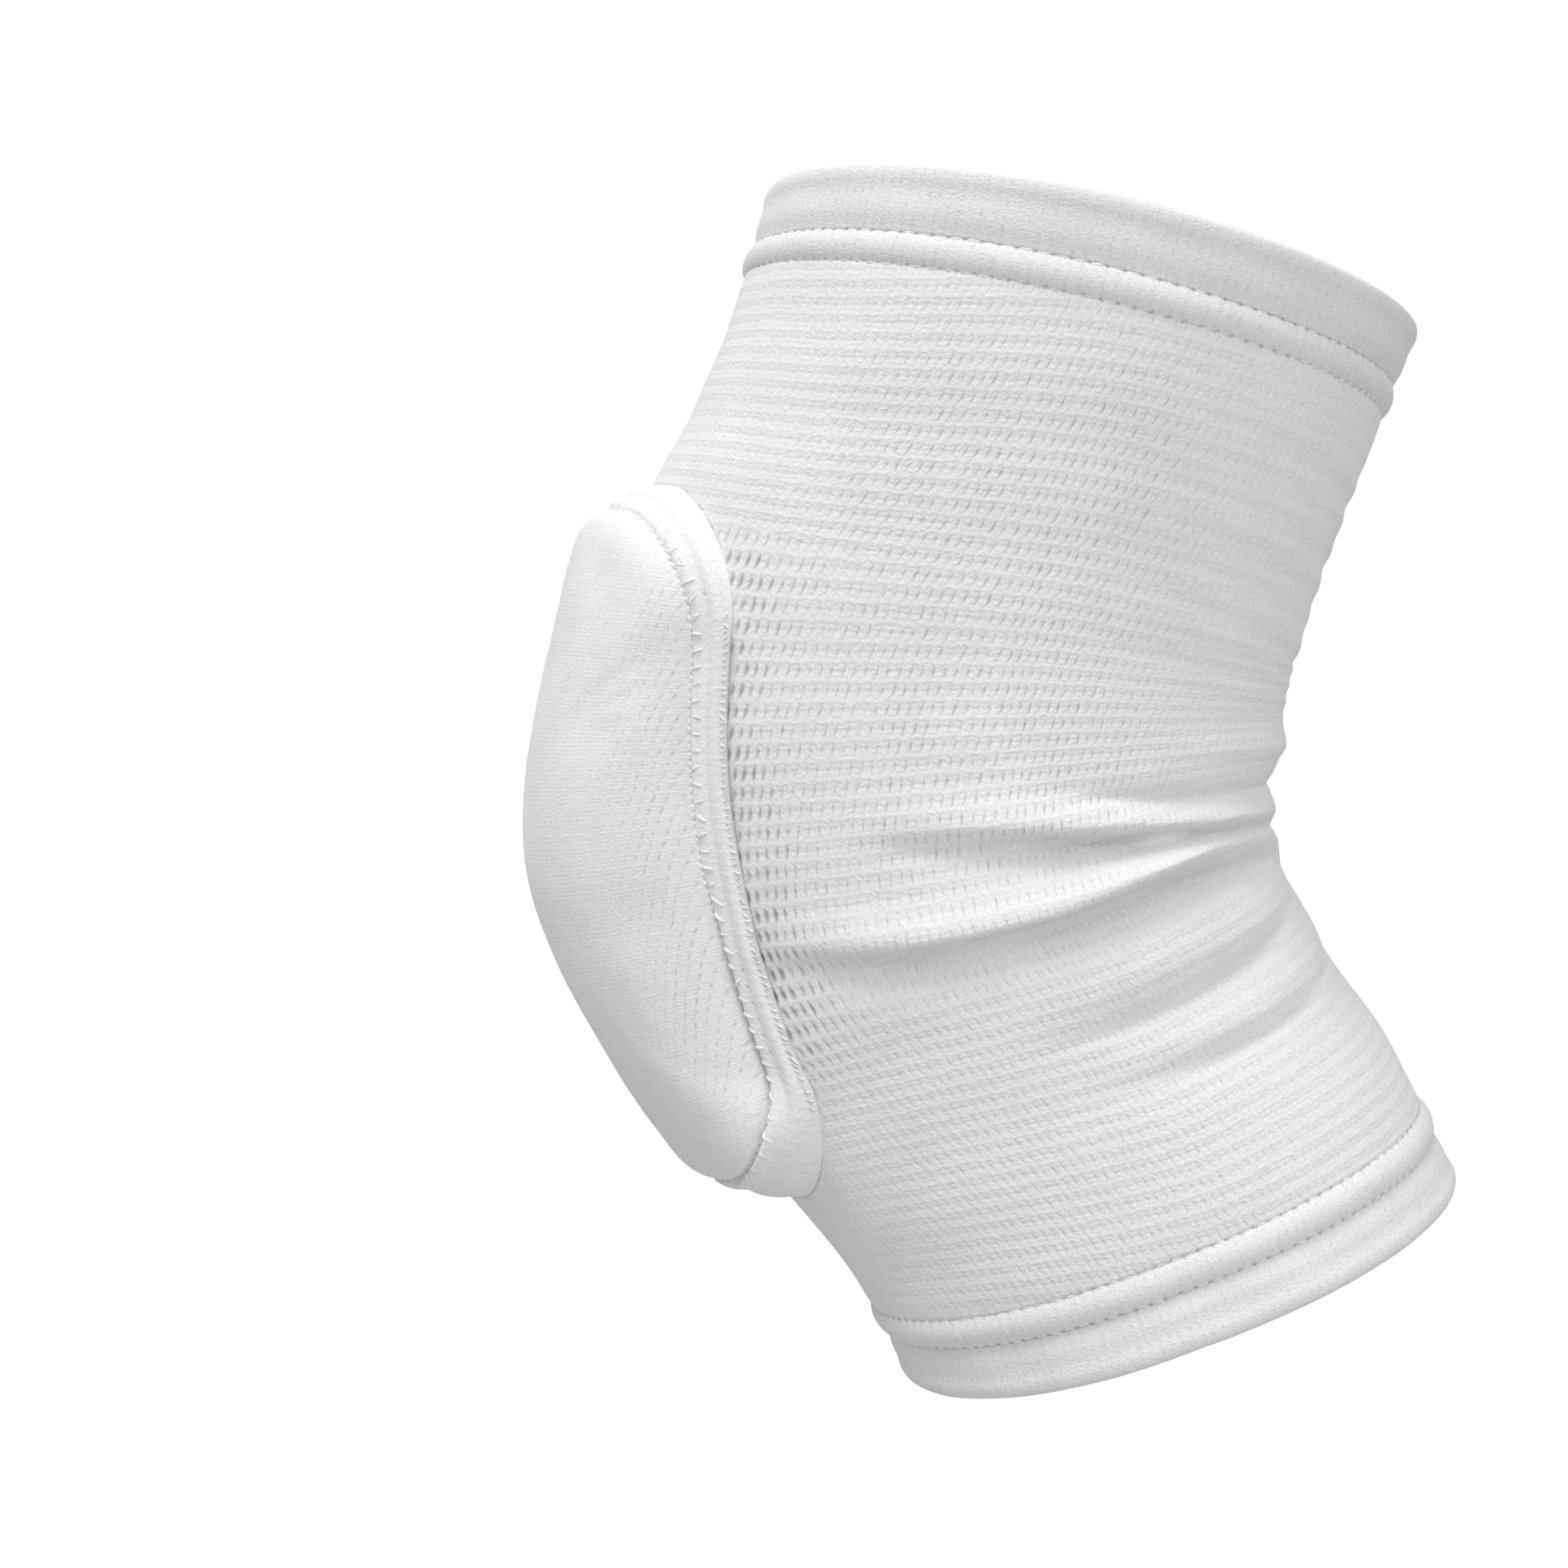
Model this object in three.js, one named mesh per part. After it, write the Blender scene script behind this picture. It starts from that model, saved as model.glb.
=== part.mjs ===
// A knitted knee pad as it sits on a slightly bent leg: an elastic tube, a folded hem and a raised welt at each
// end, and a padded cup with its sewn border on the front of the knee. The tube is open from end to end.
// Millimetres, +Z up. The origin is where the axes of thigh and shin cross. The knee's front faces -X, and Y runs
// across the leg.
import * as THREE from 'three';

// The leg that the tube is drawn over. Angles are in degrees
const thighLength = 108.3; // along the axis, from the middle of the bend to the upper edge
const shinLength = 111.2; // from the middle of the bend to the lower edge
const thighLean = 12.5; // the thigh leans back from the vertical
const shinLean = 22; // and so does the shin, below the knee
const bendRadius = 120; // of the axis through the knee
const thighDepth = 140; // front to back
const thighWidth = 140;
const kneeDepth = 132;
const kneeWidth = 122;
const calfDepth = 122;
const calfWidth = 120;

// The tube, its hems and its welts
const wall = 2; // of the knitted tube
const hemWall = 3.4; // two layers of the knit
const upperHemHeight = 13.2;
const lowerHemHeight = 11;
const hemStandsOff = 0.8; // the hem's outside beyond the tube's
const weltHeight = 5.6;
const weltRise = 1.1; // the welt's crown above the tube
const seamDip = 0.7; // how far the stitch lines pull the cloth in
const clearance = 0.3; // between pieces that are sewn together
const upperFrontDrop = 1.4; // the upper edge lies lower at the front than at the sides
const upperBackDrop = 1; // and at the back
const lowerFrontLift = 2.2; // the lower edge lies higher at the front than at the sides
const lowerBackDrop = 2.8; // and lower at the back

// The folds at the back of the bent knee
const foldHeight = 2.6;
const foldWidth = 4.2; // half the width of the widest fold, at the side of the leg
const foldSpread = 1.5; // how many times wider it is behind the knee
const foldOverhang = 1.35; // how many times gentler its upper slope is, and steeper its lower one
const foldFade = 38; // degrees over which a fold runs out
const foldsTop = 0.12; // share of the shin's length above the middle of the bend where they start
const foldsFoot = 0.66; // and below it where they end

// The padded cup and its border
const cupTopWidth = 94;
const cupFootWidth = 80;
const cupHeight = 134.6;
const cupTopCorner = 20;
const cupFootCorner = 15;
const cupDrop = 9.2; // the cup's middle below the middle of the bend, along the front
const cupThickness = 26;
const cupEndRound = 9; // the cup's edge is rounded over this length at its two ends
const cupSideRound = 30; // and over this length at its sides
const cupSideThinning = 0.16; // share of the thickness lost towards the sides
const cupEdgeOut = 2.2; // powers of the rounded edge. 2 and 2 would make it a quarter of an ellipse
const cupEdgeUp = 1.6;
const borderTopWidth = 6; // along the leg. The border climbs the cup's ends there
const borderShoulderWidth = 6.5; // at the sides of the cup's top
const borderShinWidth = 7.4; // at the sides of its foot
const borderFootWidth = 8.8;
const borderLip = 2.6; // thickness of the border's free edge
const borderTopLip = 2.8;
const borderRoll = 0.9; // how far its two rolls stand above the stitch line between them
const borderTopRise = 7.6; // height of its inner edge above the tube, at the top
const borderSideRise = 3.4;
const borderFootRise = 11.5;

// Fineness of the faces
const columns = 44; // round the leg
const foldRows = 26; // up the tube where it has folds
const cupColumns = 56; // round the cup

const radians = THREE.MathUtils.degToRad;
const { clamp, lerp, smoothstep } = THREE.MathUtils;

// Parts of the leg, as the lengths that the sections follow
const thigh = { length: thighLength, depth: thighDepth, width: thighWidth };
const kneeTop = { length: thighLength, depth: kneeDepth, width: kneeWidth };
const kneeFoot = { length: -shinLength, depth: kneeDepth, width: kneeWidth };
const calf = { length: -shinLength, depth: calfDepth, width: calfWidth };

// Sections of the leg from the lower edge up: a place along one part of the leg, and how far the tube's outside
// reaches from the axis to the front, to the back and to each side, as shares of that part's sizes
const sections = [
  { of: calf, along: 1.0, front: 0.486, back: 0.492, side: 0.5 },
  { of: calf, along: 0.88, front: 0.5, back: 0.494, side: 0.502 },
  { of: calf, along: 0.72, front: 0.525, back: 0.48, side: 0.5 },
  { of: calf, along: 0.54, front: 0.576, back: 0.441, side: 0.492 },
  { of: kneeFoot, along: 0.36, front: 0.541, back: 0.394, side: 0.49 },
  { of: kneeFoot, along: 0.15, front: 0.555, back: 0.416, side: 0.496 },
  { of: kneeTop, along: 0.0, front: 0.57, back: 0.439, side: 0.5 },
  { of: kneeTop, along: 0.17, front: 0.581, back: 0.447, side: 0.502 },
  { of: thigh, along: 0.37, front: 0.56, back: 0.429, side: 0.45 },
  { of: thigh, along: 0.55, front: 0.525, back: 0.443, side: 0.47 },
  { of: thigh, along: 0.74, front: 0.499, back: 0.466, side: 0.49 },
  { of: thigh, along: 0.89, front: 0.49, back: 0.482, side: 0.498 },
  { of: thigh, along: 1.0, front: 0.477, back: 0.491, side: 0.5 },
];

// Folds and creases of the cloth behind the knee, from the top down. back, rear, side and fore are the places of
// a fold's line at the back of the leg, halfway to its side, at its side and halfway to its front, as shares of
// the shin's length below the middle of the bend, and far is added to them at the far side. reach is how far
// round from the back the fold runs, in degrees. rise, below 0 for a crease, and width are shares of foldHeight
// and foldWidth, and kept is the share of the rise that it keeps behind the knee
const folds = [
  { back: 0, rear: -0.02, side: -0.06, fore: -0.15, far: -0.02, reach: 66, rise: 0.35, kept: 1, width: 0.8 },
  { back: 0.12, rear: 0.09, side: 0.02, fore: -0.09, far: -0.02, reach: 90, rise: -0.5, kept: 0.7, width: 0.8 },
  { back: 0.22, rear: 0.166, side: 0.093, fore: 0.03, far: -0.02, reach: 116, rise: 0.8, kept: 0.2, width: 0.8 },
  { back: 0.27, rear: 0.2, side: 0.142, fore: 0.11, far: -0.02, reach: 112, rise: -0.9, kept: 0.2, width: 0.7 },
  { back: 0.32, rear: 0.258, side: 0.264, fore: 0.195, far: -0.03, reach: 142, rise: 1, kept: 0.2, width: 1 },
  { back: 0.375, rear: 0.35, side: 0.315, fore: 0.23, far: -0.03, reach: 136, rise: -1, kept: 0.1, width: 0.8 },
  { back: 0.42, rear: 0.395, side: 0.375, fore: 0.32, far: -0.02, reach: 106, rise: 0.4, kept: 0.1, width: 1.2 },
  { back: 0.385, rear: 0.46, side: 0.455, fore: 0.39, far: -0.02, reach: 106, rise: -0.6, kept: 0.2, width: 0.9 },
  { back: 0.47, rear: 0.52, side: 0.5, fore: 0.44, far: -0.01, reach: 98, rise: 0.3, kept: 0.5, width: 1.2 },
  { back: 0.53, rear: 0.58, side: 0.555, fore: 0.5, far: 0, reach: 98, rise: -0.35, kept: 0.4, width: 1 },
];

// Thickness of the cup along its middle, from its foot to its top, as shares of half its height and of its
// greatest thickness
const cupProfile = [
  { along: -1.0, thickness: 0.6 },
  { along: -0.83, thickness: 0.67 },
  { along: -0.55, thickness: 0.785 },
  { along: -0.26, thickness: 0.935 },
  { along: -0.045, thickness: 1.0 },
  { along: 0.23, thickness: 0.88 },
  { along: 0.57, thickness: 0.68 },
  { along: 1.0, thickness: 0.49 },
];

// A smooth curve through a table's values, level beyond its ends. Places rise along it
function smoothThrough(places, values) {
  const last = places.length - 1;
  const slope = (i) => {
    const before = Math.max(i - 1, 0);
    const after = Math.min(i + 1, last);
    return (values[after] - values[before]) / (places[after] - places[before]);
  };
  return (place) => {
    let i = 0;
    while (i < last - 1 && place > places[i + 1]) i += 1;
    const span = places[i + 1] - places[i];
    const t = clamp((place - places[i]) / span, 0, 1);
    const settle = t * t * (3 - 2 * t);
    const leave = t * (1 - t) * (1 - t) * span;
    const arrive = t * t * (1 - t) * span;
    return lerp(values[i], values[i + 1], settle) + leave * slope(i) - arrive * slope(i + 1);
  };
}

const stations = sections.map((row) => row.of.length * row.along);
const frontReach = smoothThrough(stations, sections.map((row) => row.of.depth * row.front));
const backReach = smoothThrough(stations, sections.map((row) => row.of.depth * row.back));
const sideReach = smoothThrough(stations, sections.map((row) => row.of.width * row.side));
const cupProfileAt = smoothThrough(
  cupProfile.map((row) => row.along),
  cupProfile.map((row) => row.thickness * cupThickness),
);

// The leg's axis: straight along the thigh, an arc through the knee and straight along the shin. A station is a
// length along it, above 0 on the thigh and below 0 on the shin
const bendAngle = radians(thighLean + shinLean);
const halfBend = (bendRadius * bendAngle) / 2;
const middleTilt = radians(thighLean - shinLean) / 2;
const bendCentreReach = bendRadius / Math.cos(bendAngle / 2);

function axisAt(station) {
  const inBend = clamp(station, -halfBend, halfBend);
  const tilt = middleTilt + inBend / bendRadius;
  const up = new THREE.Vector3(Math.sin(tilt), 0, Math.cos(tilt));
  const back = new THREE.Vector3(Math.cos(tilt), 0, -Math.sin(tilt));
  const point = new THREE.Vector3(Math.cos(middleTilt), 0, -Math.sin(middleTilt))
    .multiplyScalar(bendCentreReach)
    .addScaledVector(back, -bendRadius)
    .addScaledVector(up, station - inBend);
  return { point, up, back };
}

const foldLines = folds.map((fold) => {
  const places = [0, Math.PI / 4, Math.PI / 2, 0.75 * Math.PI];
  return smoothThrough(places, [fold.back, fold.rear, fold.side, fold.fore]);
});

// How far the folds push the cloth out at a station and an angle, where 0 is the front and PI the back
function foldLift(station, angle) {
  const fromBack = Math.PI - Math.abs(angle);
  const aside = smoothstep(fromBack, 0, Math.PI / 3); // 0 at the back and 1 towards the sides
  let lift = 0;
  folds.forEach((fold, i) => {
    const far = angle < 0 ? fold.far * aside : 0;
    const line = -shinLength * (foldLines[i](fromBack) + far);
    const away = (station - line) / (foldWidth * fold.width * lerp(foldSpread, 1, aside));
    const off = away * fold.rise > 0 ? away / foldOverhang : away * foldOverhang;
    const fade = smoothstep(radians(fold.reach) - fromBack, 0, radians(foldFade));
    lift += foldHeight * fold.rise * lerp(fold.kept, 1, aside) * fade * Math.exp(-off * off);
  });
  return lift;
}

// How far up a row of the knit runs off its station at an angle, towards the two edges
function rowSlant(station, angle) {
  const upper = smoothstep(station, 0.5 * thighLength, thighLength);
  const lower = smoothstep(-station, 0.5 * shinLength, shinLength);
  const ahead = Math.max(Math.cos(angle), 0) ** 2;
  const behind = Math.max(-Math.cos(angle), 0);
  const front = lower * lowerFrontLift - upper * upperFrontDrop;
  const back = lower * lowerBackDrop + upper * upperBackDrop;
  return ahead * front - behind * back;
}

// A point on the tube's outside, or lift above it. Angles above 0 are on the -Y side
function onLeg(station, angle, lift) {
  const { point, back } = axisAt(station + rowSlant(station, angle));
  const depth = Math.cos(angle) > 0 ? frontReach(station) : backReach(station);
  const width = sideReach(station);
  const outward = new THREE.Vector2(-Math.cos(angle) / depth, -Math.sin(angle) / width).normalize();
  const total = lift + foldLift(station, angle);
  const along = -depth * Math.cos(angle) + total * outward.x;
  const across = -width * Math.sin(angle) + total * outward.y;
  return point.addScaledVector(back, along).add(new THREE.Vector3(0, across, 0));
}

// The station a length up the front of the leg from the middle of the bend, in short steps
function stationUpFront(length) {
  const way = Math.sign(length);
  let station = 0;
  for (let left = Math.abs(length); left > 0; left -= 1) {
    const stretch = onLeg(station + 0.5, 0, 0).distanceTo(onLeg(station - 0.5, 0, 0));
    station += (way * Math.min(left, 1)) / stretch;
  }
  return station;
}

// The angle a length round the leg from its front
function angleRound(station, length) {
  const way = Math.sign(length);
  const depth = frontReach(station);
  const width = sideReach(station);
  let angle = 0;
  for (let left = Math.abs(length); left > 0; left -= 1) {
    angle += (way * Math.min(left, 1)) / Math.hypot(depth * Math.sin(angle), width * Math.cos(angle));
  }
  return angle;
}

// A point over the front of the leg: a length round it and a length up it from the cup's middle, and a lift
function onFront(round, up, lift) {
  const station = stationUpFront(up - cupDrop);
  return onLeg(station, angleRound(station, round), lift);
}

// Faces between rows of points. Each row closes on itself, and the last row joins the first, or else each end
// closes on its own pole
function rowsGeometry(rows, poles) {
  const count = rows[0].length;
  const index = [];
  const joins = poles ? rows.length - 1 : rows.length;
  for (let r = 0; r < joins; r += 1) {
    const here = r * count;
    const next = ((r + 1) % rows.length) * count;
    for (let c = 0; c < count; c += 1) {
      const d = (c + 1) % count;
      index.push(here + c, here + d, next + d, here + c, next + d, next + c);
    }
  }
  const points = rows.flat();
  if (poles) {
    const first = points.length;
    const lastRow = (rows.length - 1) * count;
    points.push(...poles);
    for (let c = 0; c < count; c += 1) {
      const d = (c + 1) % count;
      index.push(first, d, c, first + 1, lastRow + c, lastRow + d);
    }
  }
  const geometry = new THREE.BufferGeometry().setFromPoints(points);
  geometry.setIndex(index);
  geometry.computeVertexNormals();
  return geometry;
}

// A ring round the leg whose section is a closed outline of stations and lifts, counted from the outside at its
// lower end, up, and back down the inside
function legRing(outline) {
  const rows = outline.map(({ station, lift }) => {
    const row = [];
    for (let c = 0; c < columns; c += 1) {
      row.push(onLeg(station, lerp(-Math.PI, Math.PI, c / columns), lift));
    }
    return row;
  });
  return rowsGeometry(rows);
}

const upperEdge = thighLength;
const upperHemFoot = upperEdge - upperHemHeight;
const upperWeltFoot = upperHemFoot - clearance - weltHeight;
const lowerEdge = -shinLength;
const lowerHemTop = lowerEdge + lowerHemHeight;
const lowerWeltTop = lowerHemTop + clearance + weltHeight;

// The knitted tube between the two welts. Its stations lie closer together where the folds are
function sleeveGeometry() {
  const top = upperWeltFoot - clearance;
  const foot = lowerWeltTop + clearance;
  const high = foldsTop * shinLength;
  const low = -foldsFoot * shinLength;
  const spread = (from, to, count) => Array.from({ length: count }, (_, i) => lerp(from, to, i / count));
  const places = [...spread(foot, low, 2), ...spread(low, high, foldRows), ...spread(high, top, 7), top];
  const last = places.length - 1;
  const dip = (i) => (i === 0 || i === last ? -seamDip : 0);
  const outside = places.map((station, i) => ({ station, lift: dip(i) }));
  const inside = places.map((station, i) => ({ station, lift: dip(i) - wall })).reverse();
  return legRing([...outside, ...inside]);
}

// A folded hem. free is the station of its free edge and sewn that of its sewn edge
function hemGeometry(free, sewn) {
  const height = Math.abs(free - sewn);
  const way = Math.sign(sewn - free);
  const round = hemWall / 2;
  const section = [
    { from: 0, lift: hemStandsOff - 0.8 * round },
    { from: 0.6 * round, lift: hemStandsOff - 0.1 * round },
    { from: 0.5 * height, lift: hemStandsOff },
    { from: height - round, lift: hemStandsOff },
    { from: height, lift: -seamDip },
    { from: height, lift: -seamDip - wall },
    { from: 0.6 * round, lift: hemStandsOff - hemWall },
    { from: 0, lift: hemStandsOff - hemWall + 0.5 * round },
  ].map(({ from, lift }) => ({ station: free + way * from, lift }));
  return legRing(way > 0 ? section : section.reverse());
}

// The welt between a hem's two stitch lines
function weltGeometry(foot) {
  return legRing([
    { station: foot, lift: -seamDip },
    { station: foot + 0.24 * weltHeight, lift: 0.8 * weltRise },
    { station: foot + 0.5 * weltHeight, lift: weltRise },
    { station: foot + 0.76 * weltHeight, lift: 0.8 * weltRise },
    { station: foot + weltHeight, lift: -seamDip },
    { station: foot + weltHeight, lift: -seamDip - wall },
    { station: foot, lift: -seamDip - wall },
  ]);
}

// The outline of the cup's edge, seen flat, round the leg by x and up it by y, and grown by the border up to a
// share of its width
function cupOutline(share) {
  const grow = (size, width) => size + lerp(share > 0 ? clearance : 0, width, share);
  const top = grow(cupHeight / 2, borderTopWidth);
  const foot = grow(cupHeight / 2, borderFootWidth);
  const topSide = grow(cupTopWidth / 2, borderShoulderWidth);
  const footSide = grow(cupFootWidth / 2, borderShinWidth);
  const topRound = grow(cupTopCorner, borderTopWidth);
  const footRound = grow(cupFootCorner, borderFootWidth);
  const path = new THREE.Path();
  path.moveTo(0, top);
  path.lineTo(topRound - topSide, top);
  path.absarc(topRound - topSide, top - topRound, topRound, Math.PI / 2, Math.PI, false);
  path.lineTo(-footSide, footRound - foot);
  path.absarc(footRound - footSide, footRound - foot, footRound, Math.PI, 1.5 * Math.PI, false);
  path.lineTo(footSide - footRound, -foot);
  path.absarc(footSide - footRound, footRound - foot, footRound, 1.5 * Math.PI, 2 * Math.PI, false);
  path.lineTo(topSide, top - topRound);
  path.absarc(topSide - topRound, top - topRound, topRound, 0, Math.PI / 2, false);
  path.closePath();
  return path;
}

// Points of that outline at even shares of its length, clockwise as seen from the front
function cupOutlinePoints(share) {
  return cupOutline(share).getSpacedPoints(cupColumns).slice(0, cupColumns).reverse();
}

// A height that changes from the cup's sides to its top and its foot. heading is 1 at the top and -1 at the foot
function roundCup(heading, top, side, foot) {
  return lerp(side, heading > 0 ? top : foot, smoothstep(Math.abs(heading), 0.55, 1));
}

// Height of the border's inner edge above the tube
function borderRise(heading) {
  return roundCup(heading, borderTopRise, borderSideRise, borderFootRise);
}

// The padded cup: rings of points from the middle of its face over its rounded edge and back under it
function cupGeometry() {
  const edge = cupOutlinePoints(0);
  const shares = [0.15, 0.3, 0.45, 0.6, 0.74, 0.86, 0.94, 1];
  const top = cupHeight / 2;
  const face = (x, y, share) => {
    const heading = y / share / top;
    const round = lerp(cupSideRound, cupEndRound, smoothstep(Math.abs(heading), 0.6, 1));
    const reach = Math.hypot(x, y) / share;
    const near = clamp(((1 - share) * reach) / round, 0, 1);
    const low = borderRise(heading);
    const aside = x / (cupTopWidth / 2);
    const full = cupProfileAt(y / top) * (1 - cupSideThinning * aside * aside);
    return lerp(low, full, (1 - (1 - near) ** cupEdgeOut) ** (1 / cupEdgeUp));
  };
  const ring = (share, lift) => {
    return edge.map(({ x, y }) => onFront(share * x, share * y, lift(share * x, share * y, share)));
  };
  const over = shares.map((share) => ring(share, face));
  const under = shares.map((share) => ring(share, () => clearance)).reverse();
  const crown = onFront(0, 0, cupProfileAt(0));
  const seat = onFront(0, 0, clearance);
  return rowsGeometry([...over, ...under], [crown, seat]);
}

// The border round the cup: a band with two rolls and a stitch line between them, high along the cup and thin at
// its free edge. from shares the height between the inner edge and the lip, and roll is a share of borderRoll
function borderGeometry() {
  const section = [
    { across: 0.01, seat: true },
    { across: 0.01, from: 0, roll: -1 },
    { across: 0.25, from: 0.15, roll: 0.6 },
    { across: 0.53, from: 0.5, roll: -0.8 },
    { across: 0.78, from: 0.75, roll: 1 },
    { across: 0.96, from: 1, roll: 0.3 },
    { across: 1, from: 1, roll: -1 },
    { across: 0.96, seat: true },
    { across: 0.5, seat: true },
  ];
  const rows = section.map(({ across, from, roll, seat }) =>
    cupOutlinePoints(across).map(({ x, y }) => {
      const heading = y / (cupHeight / 2);
      const lip = roundCup(heading, borderTopLip, borderLip, borderLip);
      const lift = seat ? clearance : lerp(borderRise(heading), lip, from) + roll * borderRoll;
      return onFront(x, y, lift);
    }),
  );
  return rowsGeometry(rows);
}

// Finishes: one white yarn, knitted open for the tube, close for the hems and smooth over the cup
const openKnit = new THREE.MeshStandardMaterial({ color: 0xe9e9ea, roughness: 0.95, metalness: 0 });
const closeKnit = new THREE.MeshStandardMaterial({ color: 0xececed, roughness: 0.92, metalness: 0 });
const smoothKnit = new THREE.MeshStandardMaterial({ color: 0xf0f0f1, roughness: 0.85, metalness: 0 });

function piece(name, geometry, material) {
  const mesh = new THREE.Mesh(geometry, material);
  mesh.name = name;
  return mesh;
}

const kneePad = new THREE.Group();
kneePad.add(piece('sleeve', sleeveGeometry(), openKnit));
kneePad.add(piece('upper_hem', hemGeometry(upperEdge, upperHemFoot), closeKnit));
kneePad.add(piece('upper_welt', weltGeometry(upperWeltFoot), closeKnit));
kneePad.add(piece('lower_welt', weltGeometry(lowerHemTop + clearance), closeKnit));
kneePad.add(piece('lower_hem', hemGeometry(lowerEdge, lowerHemTop), closeKnit));
kneePad.add(piece('cup', cupGeometry(), smoothKnit));
kneePad.add(piece('cup_border', borderGeometry(), closeKnit));

export default kneePad;
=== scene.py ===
"""Knee pad in white knit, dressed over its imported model.

The tube, its hems and welts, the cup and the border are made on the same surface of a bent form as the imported
model, so each finer piece lies where the solid that it stands for lies.
"""

import logging
import math
from dataclasses import dataclass, field
from enum import Enum

import bpy
import numpy as np
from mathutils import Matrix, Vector, kdtree


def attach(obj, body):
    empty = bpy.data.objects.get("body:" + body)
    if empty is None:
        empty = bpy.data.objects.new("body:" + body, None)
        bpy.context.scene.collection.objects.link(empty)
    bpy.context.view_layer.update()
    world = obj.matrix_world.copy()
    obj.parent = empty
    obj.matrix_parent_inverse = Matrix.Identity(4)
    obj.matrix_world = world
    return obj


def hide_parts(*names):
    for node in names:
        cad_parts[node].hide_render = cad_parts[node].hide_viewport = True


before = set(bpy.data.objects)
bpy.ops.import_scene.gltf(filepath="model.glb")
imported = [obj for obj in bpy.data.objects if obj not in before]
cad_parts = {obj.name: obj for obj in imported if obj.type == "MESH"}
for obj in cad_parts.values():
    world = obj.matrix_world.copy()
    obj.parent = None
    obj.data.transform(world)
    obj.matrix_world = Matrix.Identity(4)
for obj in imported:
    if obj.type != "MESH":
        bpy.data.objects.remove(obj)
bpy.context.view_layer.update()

log = logging.getLogger("knee_pad")
Array = np.ndarray
Socket = bpy.types.NodeSocket
TURN = 2.0 * math.pi
STITCH_WALES = 1.5  # wales of the knit in the length of a stitch
STITCHES = 128  # stitches of a row round the tube
MILLIMETRES = 1000.0  # in a metre
NO_SEAM = 9.0  # millimetres to a stitch row where there is none


# Curves and meshes


def soft_step(value: Array | float, low: float, high: float) -> Array:
    """Smooth rise from 0 at low to 1 at high."""
    share = np.clip((np.asarray(value, float) - low) / (high - low), 0.0, 1.0)
    return share * share * (3.0 - 2.0 * share)


def between(first: Array | float, second: Array | float, share: Array | float) -> Array:
    """Value that lies a share of the way from first to second."""
    return first + (second - first) * share


class TableCurve:
    """Smooth curve through a table's values, level beyond its two ends."""

    def __init__(self, places: list[float], values: list[float]) -> None:
        """Keeps the table and works out its slopes.

        Args:
            places: where the values stand, rising.
            values: the values there.
        """
        self.places = np.array(places, float)
        self.values = np.array(values, float)
        after = np.minimum(np.arange(len(places)) + 1, len(places) - 1)
        before = np.maximum(np.arange(len(places)) - 1, 0)
        self.slopes = (self.values[after] - self.values[before]) / (self.places[after] - self.places[before])

    def at(self, place: Array | float) -> Array:
        """Values at some places.

        Args:
            place: the places.

        Returns:
            The values.
        """
        place = np.asarray(place, float)
        i = np.clip(np.searchsorted(self.places, place) - 1, 0, len(self.places) - 2)
        span = self.places[i + 1] - self.places[i]
        t = np.clip((place - self.places[i]) / span, 0.0, 1.0)
        level = between(self.values[i], self.values[i + 1], t * t * (3.0 - 2.0 * t))
        leave = t * (1.0 - t) ** 2 * span * self.slopes[i]
        arrive = t * t * (1.0 - t) * span * self.slopes[i + 1]
        return level + leave - arrive


def running_total(rate: Array, places: Array) -> Array:
    """Sum of a rate along some places, 0 at the first."""
    return np.concatenate([[0.0], np.cumsum(0.5 * (rate[1:] + rate[:-1]) * np.diff(places))])


def unit(vectors: Array) -> Array:
    """Vectors scaled to length 1."""
    return vectors / np.maximum(np.linalg.norm(vectors, axis=-1, keepdims=True), 1e-12)


def finish_piece(piece: bpy.types.Object, material: bpy.types.Material, *nodes: str) -> None:
    """Shades a piece smoothly, dresses it and sets it on the pad's body.

    Args:
        piece: the mesh object.
        material: its finish.
        nodes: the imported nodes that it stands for.
    """
    piece.data.polygons.foreach_set("use_smooth", [True] * len(piece.data.polygons))
    piece.data.materials.append(material)
    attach(piece, "root")
    if nodes:
        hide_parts(*nodes)
    log.info("%s: %d vertices, %d faces", piece.name, len(piece.data.vertices), len(piece.data.polygons))


def new_piece(name: str, points: Array, faces: list[list[int]]) -> bpy.types.Object:
    """Mesh object from points and faces.

    Args:
        name: the piece's name.
        points: corner places, in metres.
        faces: corner numbers of each face.

    Returns:
        The object, linked to the scene.
    """
    mesh = bpy.data.meshes.new(name)
    mesh.from_pydata(points.reshape(-1, 3).tolist(), [], faces)
    piece = bpy.data.objects.new(name, mesh)
    bpy.context.scene.collection.objects.link(piece)
    return piece


def places_of(mesh: bpy.types.Mesh) -> Array:
    """Points of a mesh.

    Args:
        mesh: the mesh.

    Returns:
        The points, one in a row.
    """
    flat = np.empty(len(mesh.vertices) * 3)
    mesh.vertices.foreach_get("co", flat)
    return flat.reshape(-1, 3)


def solved_mesh(piece: bpy.types.Object) -> bpy.types.Mesh:
    """New mesh with a piece's modifiers applied."""
    return bpy.data.meshes.new_from_object(piece.evaluated_get(bpy.context.evaluated_depsgraph_get()))


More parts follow.
